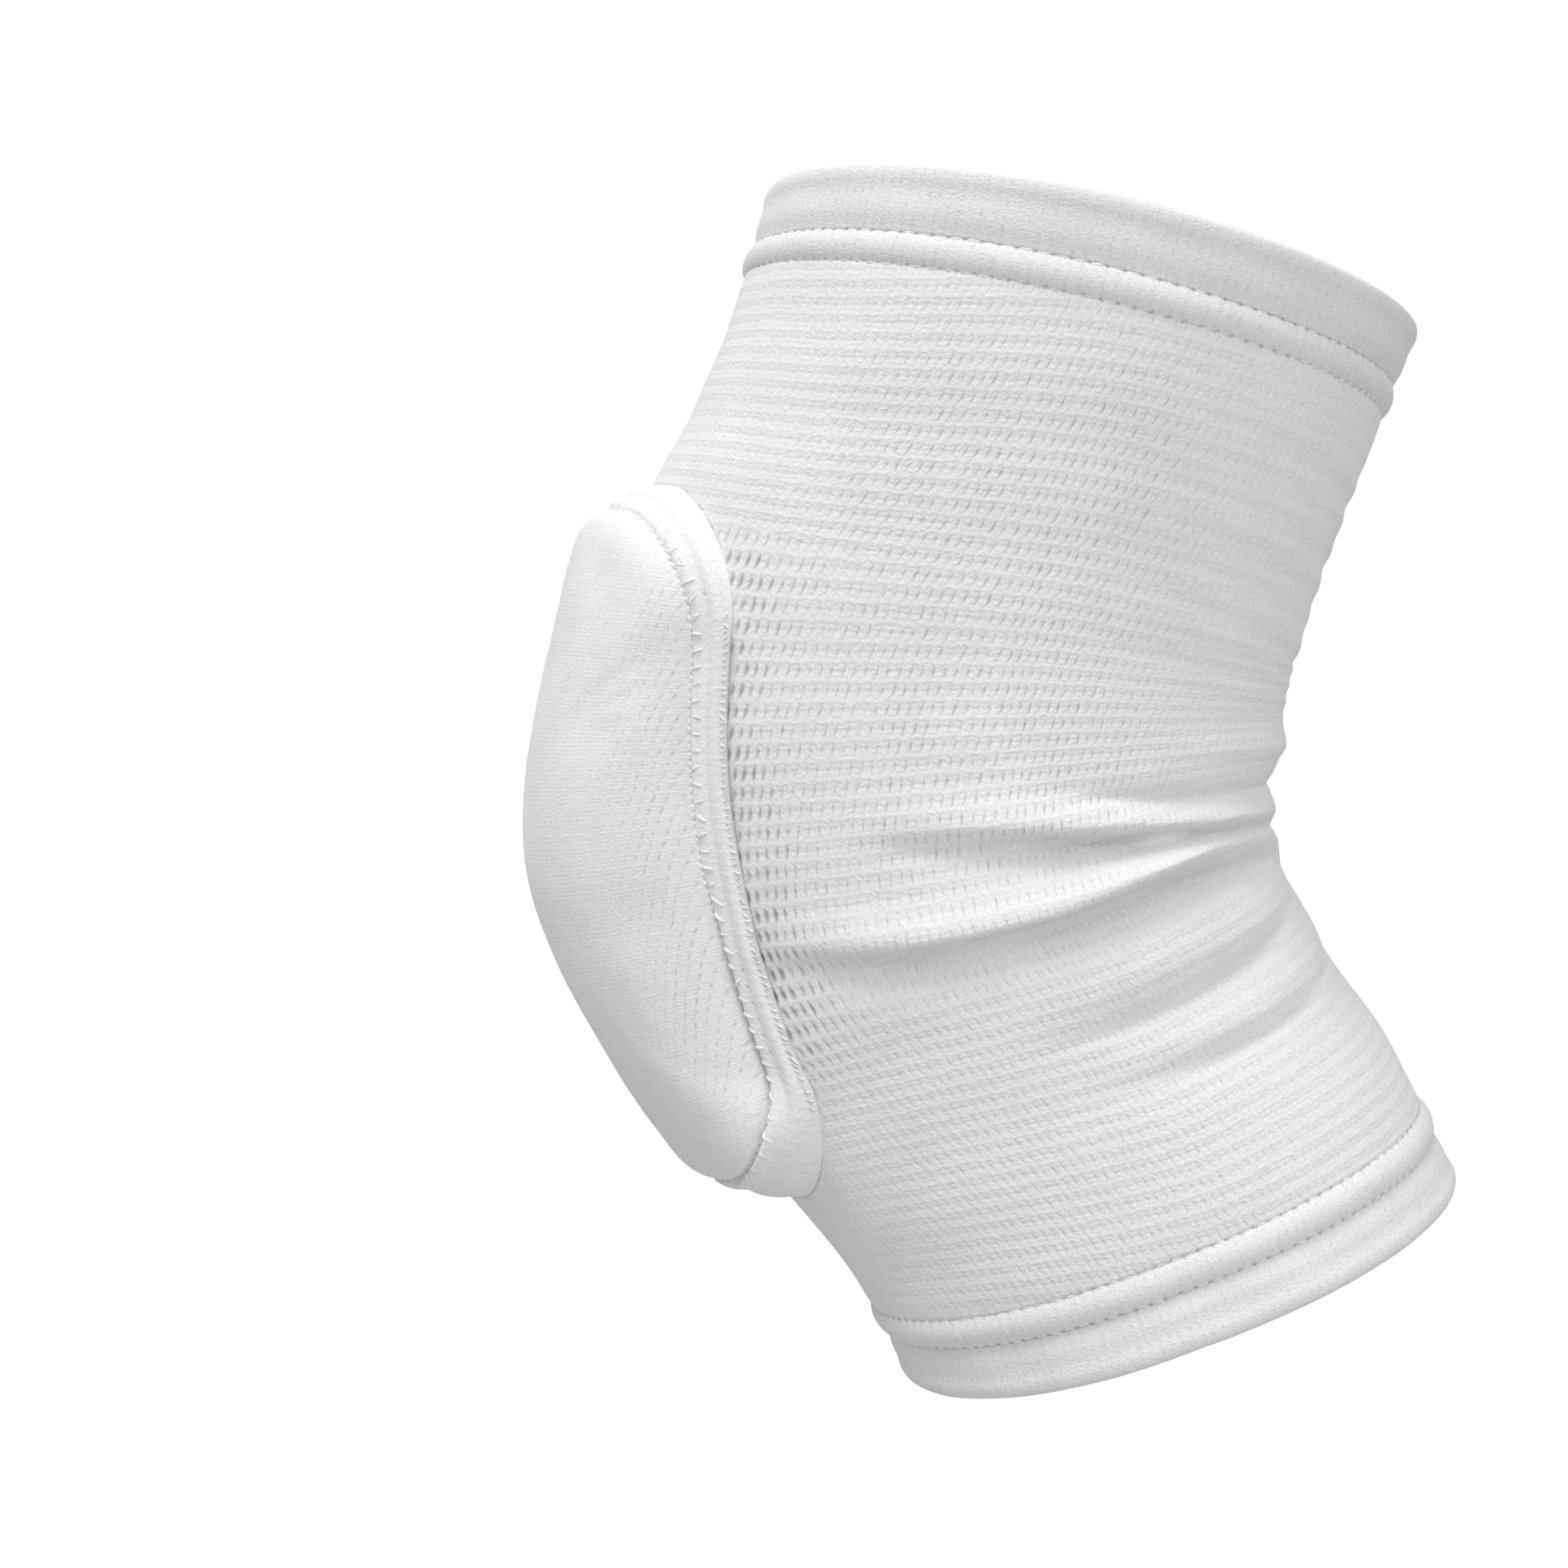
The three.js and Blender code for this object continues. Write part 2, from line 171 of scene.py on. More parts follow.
def blend_weights(source: Array, target: Array, count: int) -> tuple[Array, Array]:
    """Nearest source points of each target point, and their weights.

    Args:
        source: points that have values.
        target: points that need them.
        count: how many source points each target point takes.

    Returns:
        The source points' numbers and weights, a row for each target point.
    """
    tree = kdtree.KDTree(len(source))
    for number, place in enumerate(source):
        tree.insert(place, number)
    tree.balance()
    found = [tree.find_n(place, count) for place in target]
    numbers = np.array([[item[1] for item in row] for row in found])
    weights = 1.0 / (np.array([[item[2] for item in row] for row in found]) + 0.002) ** 2
    return numbers, weights / weights.sum(axis=1, keepdims=True)


@dataclass
class KnitGrid:
    """Cloth whose rows of points close on themselves, such as a ring round the form.

    points holds the rows, and spots the knit's wales and courses at each point and once more past each row's
    last. closed joins the last row to the first, and poles close the two ends.
    """

    name: str
    points: Array
    spots: Array
    closed: bool = True
    poles: tuple[Array, Array] | None = None
    masks: dict[str, Array] = field(default_factory=dict)

    def build(self) -> bpy.types.Object:
        """Makes the mesh with its knit coordinates and masks.

        Returns:
            The piece.
        """
        rows, columns = self.points.shape[:2]
        first = np.arange(rows if self.closed else rows - 1)
        here, column = [a.ravel() for a in np.meshgrid(first, np.arange(columns), indexing="ij")]
        above, beside = (here + 1) % rows, (column + 1) % columns
        corners = [(here, column), (here, beside), (above, beside), (above, column)]
        faces = np.stack([row * columns + col for row, col in corners], axis=1)
        places = [(here, column), (here, column + 1), (above, column + 1), (above, column)]
        knit = np.stack([self.spots[row, col] for row, col in places], axis=1).reshape(-1, 2)
        points, faces = self.points.reshape(-1, 3), faces.tolist()
        if self.poles:
            points, faces, knit = self.with_poles(points, faces, knit)
        piece = new_piece(self.name, points, faces)
        piece.data.uv_layers.new(name="knit").uv.foreach_set("vector", knit.ravel())
        for name, values in self.masks.items():
            spread = np.zeros(len(points))
            spread[: values.size] = values.ravel()
            piece.data.attributes.new(name, "FLOAT", "POINT").data.foreach_set("value", spread)
        return piece

    def with_poles(self, points: Array, faces: list, knit: Array) -> tuple[Array, list, Array]:
        """Closes the first and the last row on a point each.

        Args:
            points: the rows' points.
            faces: the faces so far.
            knit: the knit coordinates so far, one for each face corner.

        Returns:
            The points, faces and knit coordinates with the poles.
        """
        rows, columns = self.points.shape[:2]
        pole, last = rows * columns, (rows - 1) * columns
        first_row, last_row, extra = self.spots[0], self.spots[-1], []
        for c in range(columns):
            d = (c + 1) % columns
            faces.append([pole, d, c])
            faces.append([pole + 1, last + c, last + d])
            extra += [first_row[c], first_row[d], first_row[c], last_row[c], last_row[c], last_row[d]]
        return np.vstack([points, *self.poles]), faces, np.vstack([knit, extra])


def level_knit(wales: Array, courses: Array) -> Array:
    """Knit coordinates of a cloth whose courses run along its rows."""
    return np.stack(np.meshgrid(wales, courses), axis=-1)


@dataclass
class ThreadSet:
    """Many threads of one kind, joined in one mesh.

    paths and outward hold each thread's points and normals.
    """

    name: str
    paths: Array
    outward: Array
    radius: float
    sides: int = 6
    pinch: float = 0.55

    def build(self) -> bpy.types.Object:
        """Makes a tube with closed, slightly pinched ends along each path.

        Returns:
            The piece.
        """
        count, steps = self.paths.shape[:2]
        along = unit(np.gradient(self.paths, axis=1))
        across = unit(np.cross(along, self.outward))
        up = np.cross(across, along)
        place = np.abs(np.linspace(-1.0, 1.0, steps))
        thick = self.radius * (1.0 - (1.0 - self.pinch) * place**4)
        turn = TURN * np.arange(self.sides) / self.sides
        ring = np.cos(turn)[:, None] * across[:, :, None] + np.sin(turn)[:, None] * up[:, :, None]
        points = self.paths[:, :, None] + ring * thick[None, :, None, None]
        base = np.arange(count)[:, None, None] * steps * self.sides
        here = base + np.arange(steps - 1)[None, :, None] * self.sides
        side = np.arange(self.sides)[None, None, :]
        after = (side + 1) % self.sides
        quads = np.stack(
            [here + side, here + self.sides + side, here + self.sides + after, here + after],
            axis=-1,
        )
        starts = base.ravel()[:, None] + np.arange(self.sides)[None, :]
        ends = starts + (steps - 1) * self.sides
        faces = quads.reshape(-1, 4).tolist() + starts.tolist() + ends[:, ::-1].tolist()
        return new_piece(self.name, points, faces)


# The surface of the bent form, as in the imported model


@dataclass(frozen=True)
class Fold:
    """Fold or crease behind the knee.

    back, rear, side and fore are the places of its line, as shares of the shin's length below the bend's
    middle: at the back of the tube, halfway to its side, at its side and halfway to its front. far is added
    on the far side. reach is in degrees round from the back. rise, below 0 for a crease, and width are shares
    of the form's fold height and width, and kept is the share of the rise that is left at the back.
    """

    back: float
    rear: float
    side: float
    fore: float
    far: float
    reach: float
    rise: float
    kept: float
    width: float

    def line(self) -> TableCurve:
        """Place of the fold's line by the angle from the back."""
        angles = [0.0, math.pi / 4, math.pi / 2, 0.75 * math.pi]
        return TableCurve(angles, [self.back, self.rear, self.side, self.fore])


FOLDS = (
    Fold(0.0, -0.02, -0.06, -0.15, -0.02, 66, 0.35, 1.0, 0.8),
    Fold(0.12, 0.09, 0.02, -0.09, -0.02, 90, -0.5, 0.7, 0.8),
    Fold(0.22, 0.152, 0.075, 0.015, -0.02, 118, 0.8, 0.2, 0.8),
    Fold(0.27, 0.184, 0.113, 0.06, -0.02, 116, -1.1, 0.2, 0.65),
    Fold(0.32, 0.215, 0.226, 0.185, -0.03, 142, 1.1, 0.2, 0.8),
    Fold(0.375, 0.28, 0.262, 0.21, -0.03, 138, -1.3, 0.1, 0.7),
    Fold(0.42, 0.395, 0.375, 0.32, -0.02, 106, 0.4, 0.1, 1.2),
    Fold(0.385, 0.46, 0.455, 0.39, -0.02, 106, -0.48, 0.2, 1.0),
    Fold(0.47, 0.52, 0.5, 0.44, -0.01, 98, 0.3, 0.5, 1.2),
    Fold(0.53, 0.58, 0.555, 0.5, 0.0, 98, -0.35, 0.4, 1.0),
)


@dataclass
class Form:
    """Surface of the bent form that the tube is drawn over.

    A station is a length along the form's axis, above 0 on the thigh and below 0 on the shin. Angle 0 is the
    front, and angles above 0 are on the -Y side.
    """

    thigh_length: float = 0.1083
    shin_length: float = 0.1112
    thigh_lean: float = 12.5
    shin_lean: float = 22.0
    bend_radius: float = 0.120
    thigh_depth: float = 0.140
    thigh_width: float = 0.140
    knee_depth: float = 0.132
    knee_width: float = 0.122
    calf_depth: float = 0.122
    calf_width: float = 0.120
    fold_height: float = 0.0031
    fold_width: float = 0.0042
    fold_spread: float = 1.5
    fold_overhang: float = 1.35
    fold_fade: float = 38.0
    fold_sag: float = 0.3
    crease_depth: float = 0.0014
    crease_width: float = 0.0013
    upper_front_drop: float = 0.0014
    upper_back_drop: float = 0.001
    lower_front_lift: float = 0.0022
    lower_back_drop: float = 0.0028

    def __post_init__(self) -> None:
        """Works out the bend and the curves of the form's sections."""
        bend = math.radians(self.thigh_lean + self.shin_lean)
        self.half_bend = self.bend_radius * bend / 2.0
        self.middle_tilt = math.radians(self.thigh_lean - self.shin_lean) / 2.0
        self.bend_reach = self.bend_radius / math.cos(bend / 2.0)
        calf = (-self.shin_length, self.calf_depth, self.calf_width)
        knee_foot = (-self.shin_length, self.knee_depth, self.knee_width)
        knee_top = (self.thigh_length, self.knee_depth, self.knee_width)
        thigh = (self.thigh_length, self.thigh_depth, self.thigh_width)
        sections = [
            (calf, 1.0, 0.486, 0.492, 0.5),
            (calf, 0.88, 0.5, 0.494, 0.502),
            (calf, 0.72, 0.525, 0.48, 0.5),
            (calf, 0.54, 0.576, 0.441, 0.492),
            (knee_foot, 0.36, 0.541, 0.394, 0.49),
            (knee_foot, 0.15, 0.555, 0.416, 0.496),
            (knee_top, 0.0, 0.57, 0.439, 0.5),
            (knee_top, 0.17, 0.581, 0.447, 0.502),
            (thigh, 0.37, 0.56, 0.429, 0.45),
            (thigh, 0.55, 0.525, 0.443, 0.47),
            (thigh, 0.74, 0.499, 0.466, 0.49),
            (thigh, 0.89, 0.49, 0.482, 0.498),
            (thigh, 1.0, 0.477, 0.491, 0.5),
        ]
        stations = [part[0] * along for part, along, *_ in sections]
        self.front_reach = TableCurve(stations, [part[1] * front for part, _, front, _, _ in sections])
        self.back_reach = TableCurve(stations, [part[1] * back for part, _, _, back, _ in sections])
        self.side_reach = TableCurve(stations, [part[2] * side for part, _, _, _, side in sections])
        self.fold_lines = [fold.line() for fold in FOLDS]
        self.front_stations = np.linspace(-self.shin_length, self.thigh_length, 900)
        front = self.point(self.front_stations, 0.0, 0.0)
        steps = np.linalg.norm(np.diff(front, axis=0), axis=1)
        lengths = np.concatenate([[0.0], np.cumsum(steps)])
        self.front_lengths = lengths - np.interp(0.0, self.front_stations, lengths)

    def axis_at(self, station: Array) -> tuple[Array, Array]:
        """Point of the form's axis at a station, and the direction to the back there.

        Args:
            station: stations.

        Returns:
            The points and the directions.
        """
        in_bend = np.clip(station, -self.half_bend, self.half_bend)
        tilt = self.middle_tilt + in_bend / self.bend_radius
        flat = np.zeros_like(tilt)
        up = np.stack([np.sin(tilt), flat, np.cos(tilt)], axis=-1)
        back = np.stack([np.cos(tilt), flat, -np.sin(tilt)], axis=-1)
        middle = np.array([math.cos(self.middle_tilt), 0.0, -math.sin(self.middle_tilt)]) * self.bend_reach
        return middle - back * self.bend_radius + up * (station - in_bend)[..., None], back

    def fold_lift(self, station: Array, angle: Array) -> Array:
        """How far the folds and creases push the cloth out.

        Args:
            station: stations, lengths along the axis.
            angle: angles round the tube, in radians.

        Returns:
            The heights, below 0 in a crease.
        """
        from_back = math.pi - np.abs(angle)
        aside = soft_step(from_back, 0.0, math.pi / 3)
        lift = np.zeros_like(from_back)
        for fold, curve in zip(FOLDS, self.fold_lines):
            far = np.where(angle < 0, fold.far * aside, 0.0)
            away = station + self.shin_length * (curve.at(from_back) + far)
            wide = away / (self.fold_width * fold.width * between(self.fold_spread, 1.0, aside))
            off = np.where(wide * fold.rise > 0, wide / self.fold_overhang, wide * self.fold_overhang)
            fade = soft_step(math.radians(fold.reach) - from_back, 0.0, math.radians(self.fold_fade))
            share = fold.rise * between(fold.kept, 1.0, aside) * fade
            lift = lift + self.fold_height * share * np.exp(-off * off)
            if fold.rise < 0:
                narrow = np.exp(-((away / self.crease_width) ** 2))
                lift = lift + self.crease_depth * share * narrow
        return lift

    def row_slant(self, station: Array, angle: Array) -> Array:
        """How far up a row of the knit runs off its station at an angle, towards the two edges.

        Args:
            station: stations, lengths along the axis.
            angle: angles round the tube, in radians.

        Returns:
            The lengths.
        """
        upper = soft_step(station, 0.5 * self.thigh_length, self.thigh_length)
        lower = soft_step(-station, 0.5 * self.shin_length, self.shin_length)
        ahead = np.maximum(np.cos(angle), 0.0) ** 2
        behind = np.maximum(-np.cos(angle), 0.0)
        front = lower * self.lower_front_lift - upper * self.upper_front_drop
        return ahead * front - behind * (lower * self.lower_back_drop + upper * self.upper_back_drop)

    def point(self, station: Array | float, angle: Array | float, lift: Array | float) -> Array:
        """Points on the tube's outside, or lift above it.

        Args:
            station: length along the axis.
            angle: angle round the form, in radians.
            lift: height above the tube's outside.

        Returns:
            The points, in metres.
        """
        station, angle, lift = np.broadcast_arrays(*[np.asarray(a, float) for a in (station, angle, lift)])
        fold = self.fold_lift(station, angle)
        lean = self.fold_sag * np.maximum(fold, 0.0)
        middle, back = self.axis_at(station + self.row_slant(station, angle) - lean)
        depth = np.where(np.cos(angle) > 0, self.front_reach.at(station), self.back_reach.at(station))
        width = self.side_reach.at(station)
        out = unit(np.stack([-np.cos(angle) / depth, -np.sin(angle) / width], axis=-1))
        along = -depth * np.cos(angle) + (lift + fold) * out[..., 0]
        across = -width * np.sin(angle) + (lift + fold) * out[..., 1]
        points = middle + back * along[..., None]
        points[..., 1] += across
        return points

    def front_place(self, aside: Array, up: Array) -> tuple[Array, Array]:
        """Station and angle of places given by lengths over the front of the tube.

        Args:
            aside: lengths round the tube from its front.
            up: lengths up its front from the bend's middle.

        Returns:
            The stations and the angles.
        """
        station = np.interp(up, self.front_lengths, self.front_stations)
        depth, width = self.front_reach.at(station), self.side_reach.at(station)
        angle, steps = np.zeros_like(station), 40
        for _ in range(steps):
            half = angle + 0.5 * aside / steps / np.hypot(depth * np.sin(angle), width * np.cos(angle))
            angle = angle + aside / steps / np.hypot(depth * np.sin(half), width * np.cos(half))
        return station, angle

    def outward(self, station: Array, angle: Array) -> Array:
        """Directions away from the form."""
        return unit(self.point(station, angle, 0.001) - self.point(station, angle, 0.0))


# Finishes


class Bench:
    """Adds and joins the nodes of one shader tree."""

    def __init__(self, tree: bpy.types.NodeTree) -> None:
        """Takes the tree to work on."""
        self.tree = tree

    def node(self, kind: str, **settings: object) -> bpy.types.Node:
        """New node with some of its settings.

        Args:
            kind: the node's type.
            settings: its settings by name.

        Returns:
            The node.
        """
        made = self.tree.nodes.new(kind)
        for name, value in settings.items():
            setattr(made, name, value)
        return made

    def feed(self, socket: Socket, value: Socket | float | tuple) -> None:
        """Joins a socket to another, or sets its value.

        Args:
            socket: the input.
            value: an output, or the value to set.
        """
        if isinstance(value, Socket):
            self.tree.links.new(value, socket)
        else:
            socket.default_value = value

    def math(self, operation: str, *values: Socket | float) -> Socket:
        """Result of a sum or other operation on numbers.

        Args:
            operation: the operation's name.
            values: the numbers, or outputs that give them.

        Returns:
            The output.
        """
        made = self.node("ShaderNodeMath", operation=operation)
        for socket, value in zip(made.inputs, values):
            self.feed(socket, value)
        return made.outputs[0]

    def add(self, first: Socket | float, second: Socket | float) -> Socket:
        """Sum of two numbers."""
        return self.math("ADD", first, second)

    def less(self, first: Socket | float, second: Socket | float) -> Socket:
        """First number less the second."""
        return self.math("SUBTRACT", first, second)

    def times(self, first: Socket | float, second: Socket | float) -> Socket:
        """Product of two numbers."""
        return self.math("MULTIPLY", first, second)

    def ramp(self, value: Socket, low: float, high: float, first: float = 0.0, last: float = 1.0) -> Socket:
        """Smooth change from first at low to last at high.

        Args:
            value: the output that is read.
            low: where the change starts.
            high: where it ends.
            first: result at low.
            last: result at high.

        Returns:
            The output.
        """
        made = self.node("ShaderNodeMapRange", interpolation_type="SMOOTHSTEP")
        for socket, item in zip(made.inputs, (value, low, high, first, last)):
            self.feed(socket, item)
        return made.outputs[0]

    def noise(self, place: Socket, scale: Socket | float, detail: float = 2.0, twist: float = 0.0) -> Socket:
        """Smooth noise from 0 to 1.

        Args:
            place: where it is read.
            scale: how fine it is.
            detail: how many finer layers it has.
            twist: how much it is warped.

        Returns:
            The output.
        """
        made = self.node("ShaderNodeTexNoise")
        self.feed(made.inputs["Vector"], place)
        self.feed(made.inputs["Scale"], scale)
        made.inputs["Detail"].default_value = detail
        made.inputs["Distortion"].default_value = twist
        return made.outputs["Fac"]

    def spread(self, place: Socket, x: float, y: float, z: float = 1.0) -> Socket:
        """Place stretched along its axes.

        Args:
            place: the place.
            x: stretch along X.
            y: stretch along Y.
            z: stretch along Z.

        Returns:
            The output.
        """
        made = self.node("ShaderNodeMapping")
        self.feed(made.inputs["Vector"], place)
        made.inputs["Scale"].default_value = (x, y, z)
        return made.outputs[0]

    def colour(self, share: Socket, first: tuple | Socket, second: tuple | Socket) -> Socket:
        """Mix of two colours.

        Args:
            share: share of the second.
            first: the first colour.
            second: the second colour.

        Returns:
            The output.
        """
        made = self.node("ShaderNodeMix", data_type="RGBA")
        for socket, value in zip((made.inputs[0], made.inputs[6], made.inputs[7]), (share, first, second)):
            self.feed(socket, value)
        return made.outputs[2]

    def group(self, tree: bpy.types.NodeTree, **values: Socket | float) -> bpy.types.Node:
        """Places a node group and feeds its inputs by name.

        Args:
            tree: the group.
            values: what its inputs get.

        Returns:
            The node.
        """
        made = self.node("ShaderNodeGroup", node_tree=tree)
        for name, value in values.items():
            self.feed(made.inputs[name], value)
        return made


class Effect:
    """Node groups that several finishes share, each built once."""

    built: dict[str, bpy.types.NodeTree] = {}

    @classmethod
    def start(
        cls, name: str, inputs: dict[str, float | None], outputs: list[str]
    ) -> tuple[Bench, dict[str, Socket], bpy.types.Node]:
        """New group with named inputs and outputs.

        Args:
            name: the group's name.
            inputs: each input's usual value, or None for a vector.
            outputs: names of the outputs, which are numbers.

        Returns:
            The bench, the input sockets by name and the group's output node.
        """
        tree = bpy.data.node_groups.new(name, "ShaderNodeTree")
        for label, value in inputs.items():
            kind = "NodeSocketVector" if value is None else "NodeSocketFloat"
            socket = tree.interface.new_socket(name=label, in_out="INPUT", socket_type=kind)
            if value is not None:
                socket.default_value = value
        for label in outputs:
            tree.interface.new_socket(name=label, in_out="OUTPUT", socket_type="NodeSocketFloat")
        bench = Bench(tree)
        sources = {socket.name: socket for socket in bench.node("NodeGroupInput").outputs}
        cls.built[name] = tree
        return bench, sources, bench.node("NodeGroupOutput")

    @classmethod
    def yarn_fuzz(cls) -> bpy.types.NodeTree:
        """Fine fibres and the twist of the yarn, by place in metres.

        Returns:
            The group.
        """
        if "Yarn fuzz" in cls.built:
            return cls.built["Yarn fuzz"]
        bench, given, out = cls.start("Yarn fuzz", {"Place": None, "Scale": 1.0}, ["Height", "Shade"])
        fine = bench.noise(given["Place"], bench.times(given["Scale"], 2600.0), 3.0, 0.6)
        lumps = bench.noise(given["Place"], bench.times(given["Scale"], 850.0), 2.0, 0.3)
        height = bench.add(bench.times(fine, 0.55), bench.times(lumps, 0.45))
        bench.feed(out.inputs["Height"], height)
        bench.feed(out.inputs["Shade"], bench.ramp(height, 0.32, 0.66))
        return bench.tree

    @classmethod
    def handling(cls) -> bpy.types.NodeTree:
        """Slow change of tone over the cloth, from wear and washing.

        Returns:
            The group.
        """
        if "Handling" in cls.built:
            return cls.built["Handling"]
        bench, given, out = cls.start("Handling", {"Place": None}, ["Shade"])
        broad = bench.noise(given["Place"], 28.0, 2.0, 0.4)
        patchy = bench.noise(given["Place"], 160.0, 3.0)
        both = bench.add(bench.times(broad, 0.65), bench.times(patchy, 0.35))
        bench.feed(out.inputs["Shade"], bench.ramp(both, 0.34, 0.66))
        return bench.tree

    @classmethod
    def open_cells(cls) -> bpy.types.NodeTree:
        """Slanted holes of the open knit, each row half a wale beside the row below.

        Knit counts wales and courses. Openness is the depth of the holes, Lean their slant and Rows the
        height of the rows. The holes are sunk in the bump, and the finishes paint them dark as shade.

        Returns:
            The group.
        """
        if "Open cells" in cls.built:
            return cls.built["Open cells"]
        inputs = {"Knit": None, "Openness": 0.5, "Lean": 1.0, "Unevenness": 0.2, "Rows": 0.2}
        bench, given, out = cls.start("Open cells", inputs, ["Holes", "Height", "Flecks"])
        parts = bench.node("ShaderNodeSeparateXYZ")
        bench.feed(parts.inputs[0], given["Knit"])
        waver = bench.less(bench.noise(given["Knit"], 0.55, 1.0), 0.5)
        shake = bench.less(bench.noise(bench.spread(given["Knit"], 1.0, 0.7), 1.7, 1.0), 0.5)
        sway = bench.times(bench.add(bench.times(waver, 2.0), shake), given["Unevenness"])
        course = bench.add(parts.outputs[1], bench.times(sway, 0.35))
        stagger = bench.times(bench.math("FLOOR", course), 0.5)
        wale = bench.add(bench.add(parts.outputs[0], sway), stagger)
        aside = bench.less(bench.math("FRACT", wale), 0.5)
        up = bench.less(bench.math("FRACT", course), 0.5)
        cell = bench.node("ShaderNodeCombineXYZ")
        bench.feed(cell.inputs[0], bench.math("FLOOR", wale))
        bench.feed(cell.inputs[1], bench.math("FLOOR", course))
        dice = bench.node("ShaderNodeTexWhiteNoise", noise_dimensions="2D")
        bench.feed(dice.inputs["Vector"], cell.outputs[0])
        chance = dice.outputs["Value"]
        bow = bench.times(bench.times(up, up), bench.times(given["Openness"], -0.9))
        leaning = bench.less(aside, bench.add(bench.times(up, given["Lean"]), bow))
        width = bench.add(0.085, bench.times(bench.math("POWER", given["Openness"], 2.0), 0.25))
        across = bench.math("DIVIDE", leaning, width)
        along = bench.math("DIVIDE", up, bench.add(0.34, bench.times(chance, 0.1)))
        squares = bench.add(bench.times(across, across), bench.times(along, along))
        inside = bench.ramp(bench.math("SQRT", squares), 0.2, 1.25, 1.0, 0.0)
        streaks = bench.ramp(bench.noise(bench.spread(given["Knit"], 0.9, 0.16), 1.0, 2.0), 0.38, 0.68)
        luck = bench.add(bench.times(chance, 0.35), bench.times(streaks, 0.4))
        depth = bench.times(given["Openness"], bench.add(0.35, luck))
        # Darker towards one side of each hole: painted shade inside it.
        side = bench.ramp(across, -0.7, 0.5, 0.5, 1.0)
        holes = bench.math("MINIMUM", bench.times(bench.times(inside, side), depth), 0.9)
        rib = bench.math("COSINE", bench.times(course, TURN))
        wave = bench.math("COSINE", bench.times(leaning, TURN))
        bead = bench.math("COSINE", bench.times(course, TURN * 3.0))
        loops = bench.add(bench.times(wave, -0.1), bench.times(bead, 0.05))
        grain = bench.noise(bench.spread(given["Knit"], 1.0, 1.6), 2.9, 2.0, 0.4)
        # Painted highlights: a lighter tone where the loops of the yarn would catch the light.
        bench.feed(out.inputs["Flecks"], bench.ramp(grain, 0.44, 0.68))
        loops = bench.add(loops, bench.times(grain, 0.9))
        relief = bench.add(bench.times(rib, given["Rows"]), loops)
        bench.feed(out.inputs["Holes"], holes)
        bench.feed(out.inputs["Height"], bench.less(relief, bench.times(holes, 1.3)))
        return bench.tree

    @classmethod
    def close_wales(cls) -> bpy.types.NodeTree:
        """Faint short grooves between the wales of the close knit, sunk in the bump and painted dark as shade.

        Returns:
            The group.
        """
        if "Close wales" in cls.built:
            return cls.built["Close wales"]
        inputs = {"Knit": None, "Strength": 0.5}
        bench, given, out = cls.start("Close wales", inputs, ["Marks", "Height", "Flecks"])
        parts = bench.node("ShaderNodeSeparateXYZ")
        bench.feed(parts.inputs[0], given["Knit"])
        waver = bench.less(bench.noise(given["Knit"], 0.8, 1.0), 0.5)
        wale = bench.add(parts.outputs[0], bench.times(waver, 0.4))
        aside = bench.math("ABSOLUTE", bench.less(bench.math("FRACT", wale), 0.5))
        groove = bench.ramp(aside, 0.0, 0.22, 1.0, 0.0)
        row = bench.math("ABSOLUTE", bench.less(bench.math("FRACT", parts.outputs[1]), 0.5))
        patches = bench.ramp(bench.noise(given["Knit"], 1.5, 1.0), 0.35, 0.62)
        broken = bench.times(bench.ramp(row, 0.2, 0.45, 1.0, 0.0), patches)
        # Painted shade in the grooves between the wales; the same mask sinks them in the bump.
        shaded_grooves = bench.times(bench.times(groove, broken), given["Strength"])
        grain = bench.noise(bench.spread(given["Knit"], 1.0, 1.3), 3.2, 2.0, 0.4)
        # Painted highlights: a lighter tone where the loops of the yarn would catch the light.
        bench.feed(out.inputs["Flecks"], bench.ramp(grain, 0.44, 0.68))
        bench.feed(out.inputs["Marks"], shaded_grooves)
        rib = bench.math("COSINE", bench.times(wale, TURN))
        relief = bench.add(bench.times(rib, -0.08), bench.times(grain, 1.0))
        bench.feed(out.inputs["Height"], bench.less(relief, shaded_grooves))
        return bench.tree

    @classmethod
    def stitch_pits(cls) -> bpy.types.NodeTree:
        """Mask of the small holes where a row of stitches goes in, which the finishes paint dark as shade.

        Seam is the distance from the row in millimetres, and Radius the size of a hole.

        Returns:
            The group.
        """
        if "Stitch pits" in cls.built:
            return cls.built["Stitch pits"]
        bench, given, out = cls.start("Stitch pits", {"Knit": None, "Seam": NO_SEAM, "Radius": 0.6}, ["Pits"])
        parts = bench.node("ShaderNodeSeparateXYZ")
        bench.feed(parts.inputs[0], given["Knit"])
        phase = bench.math("FRACT", bench.add(bench.math("DIVIDE", parts.outputs[0], STITCH_WALES), 0.5))
        aside = bench.times(bench.less(phase, 0.5), 3.5)
        squares = bench.add(bench.times(aside, aside), bench.times(given["Seam"], given["Seam"]))
        reach = bench.math("DIVIDE", bench.math("SQRT", squares), given["Radius"])
        bench.feed(out.inputs["Pits"], bench.ramp(reach, 0.3, 1.3, 1.0, 0.0))
        return bench.tree


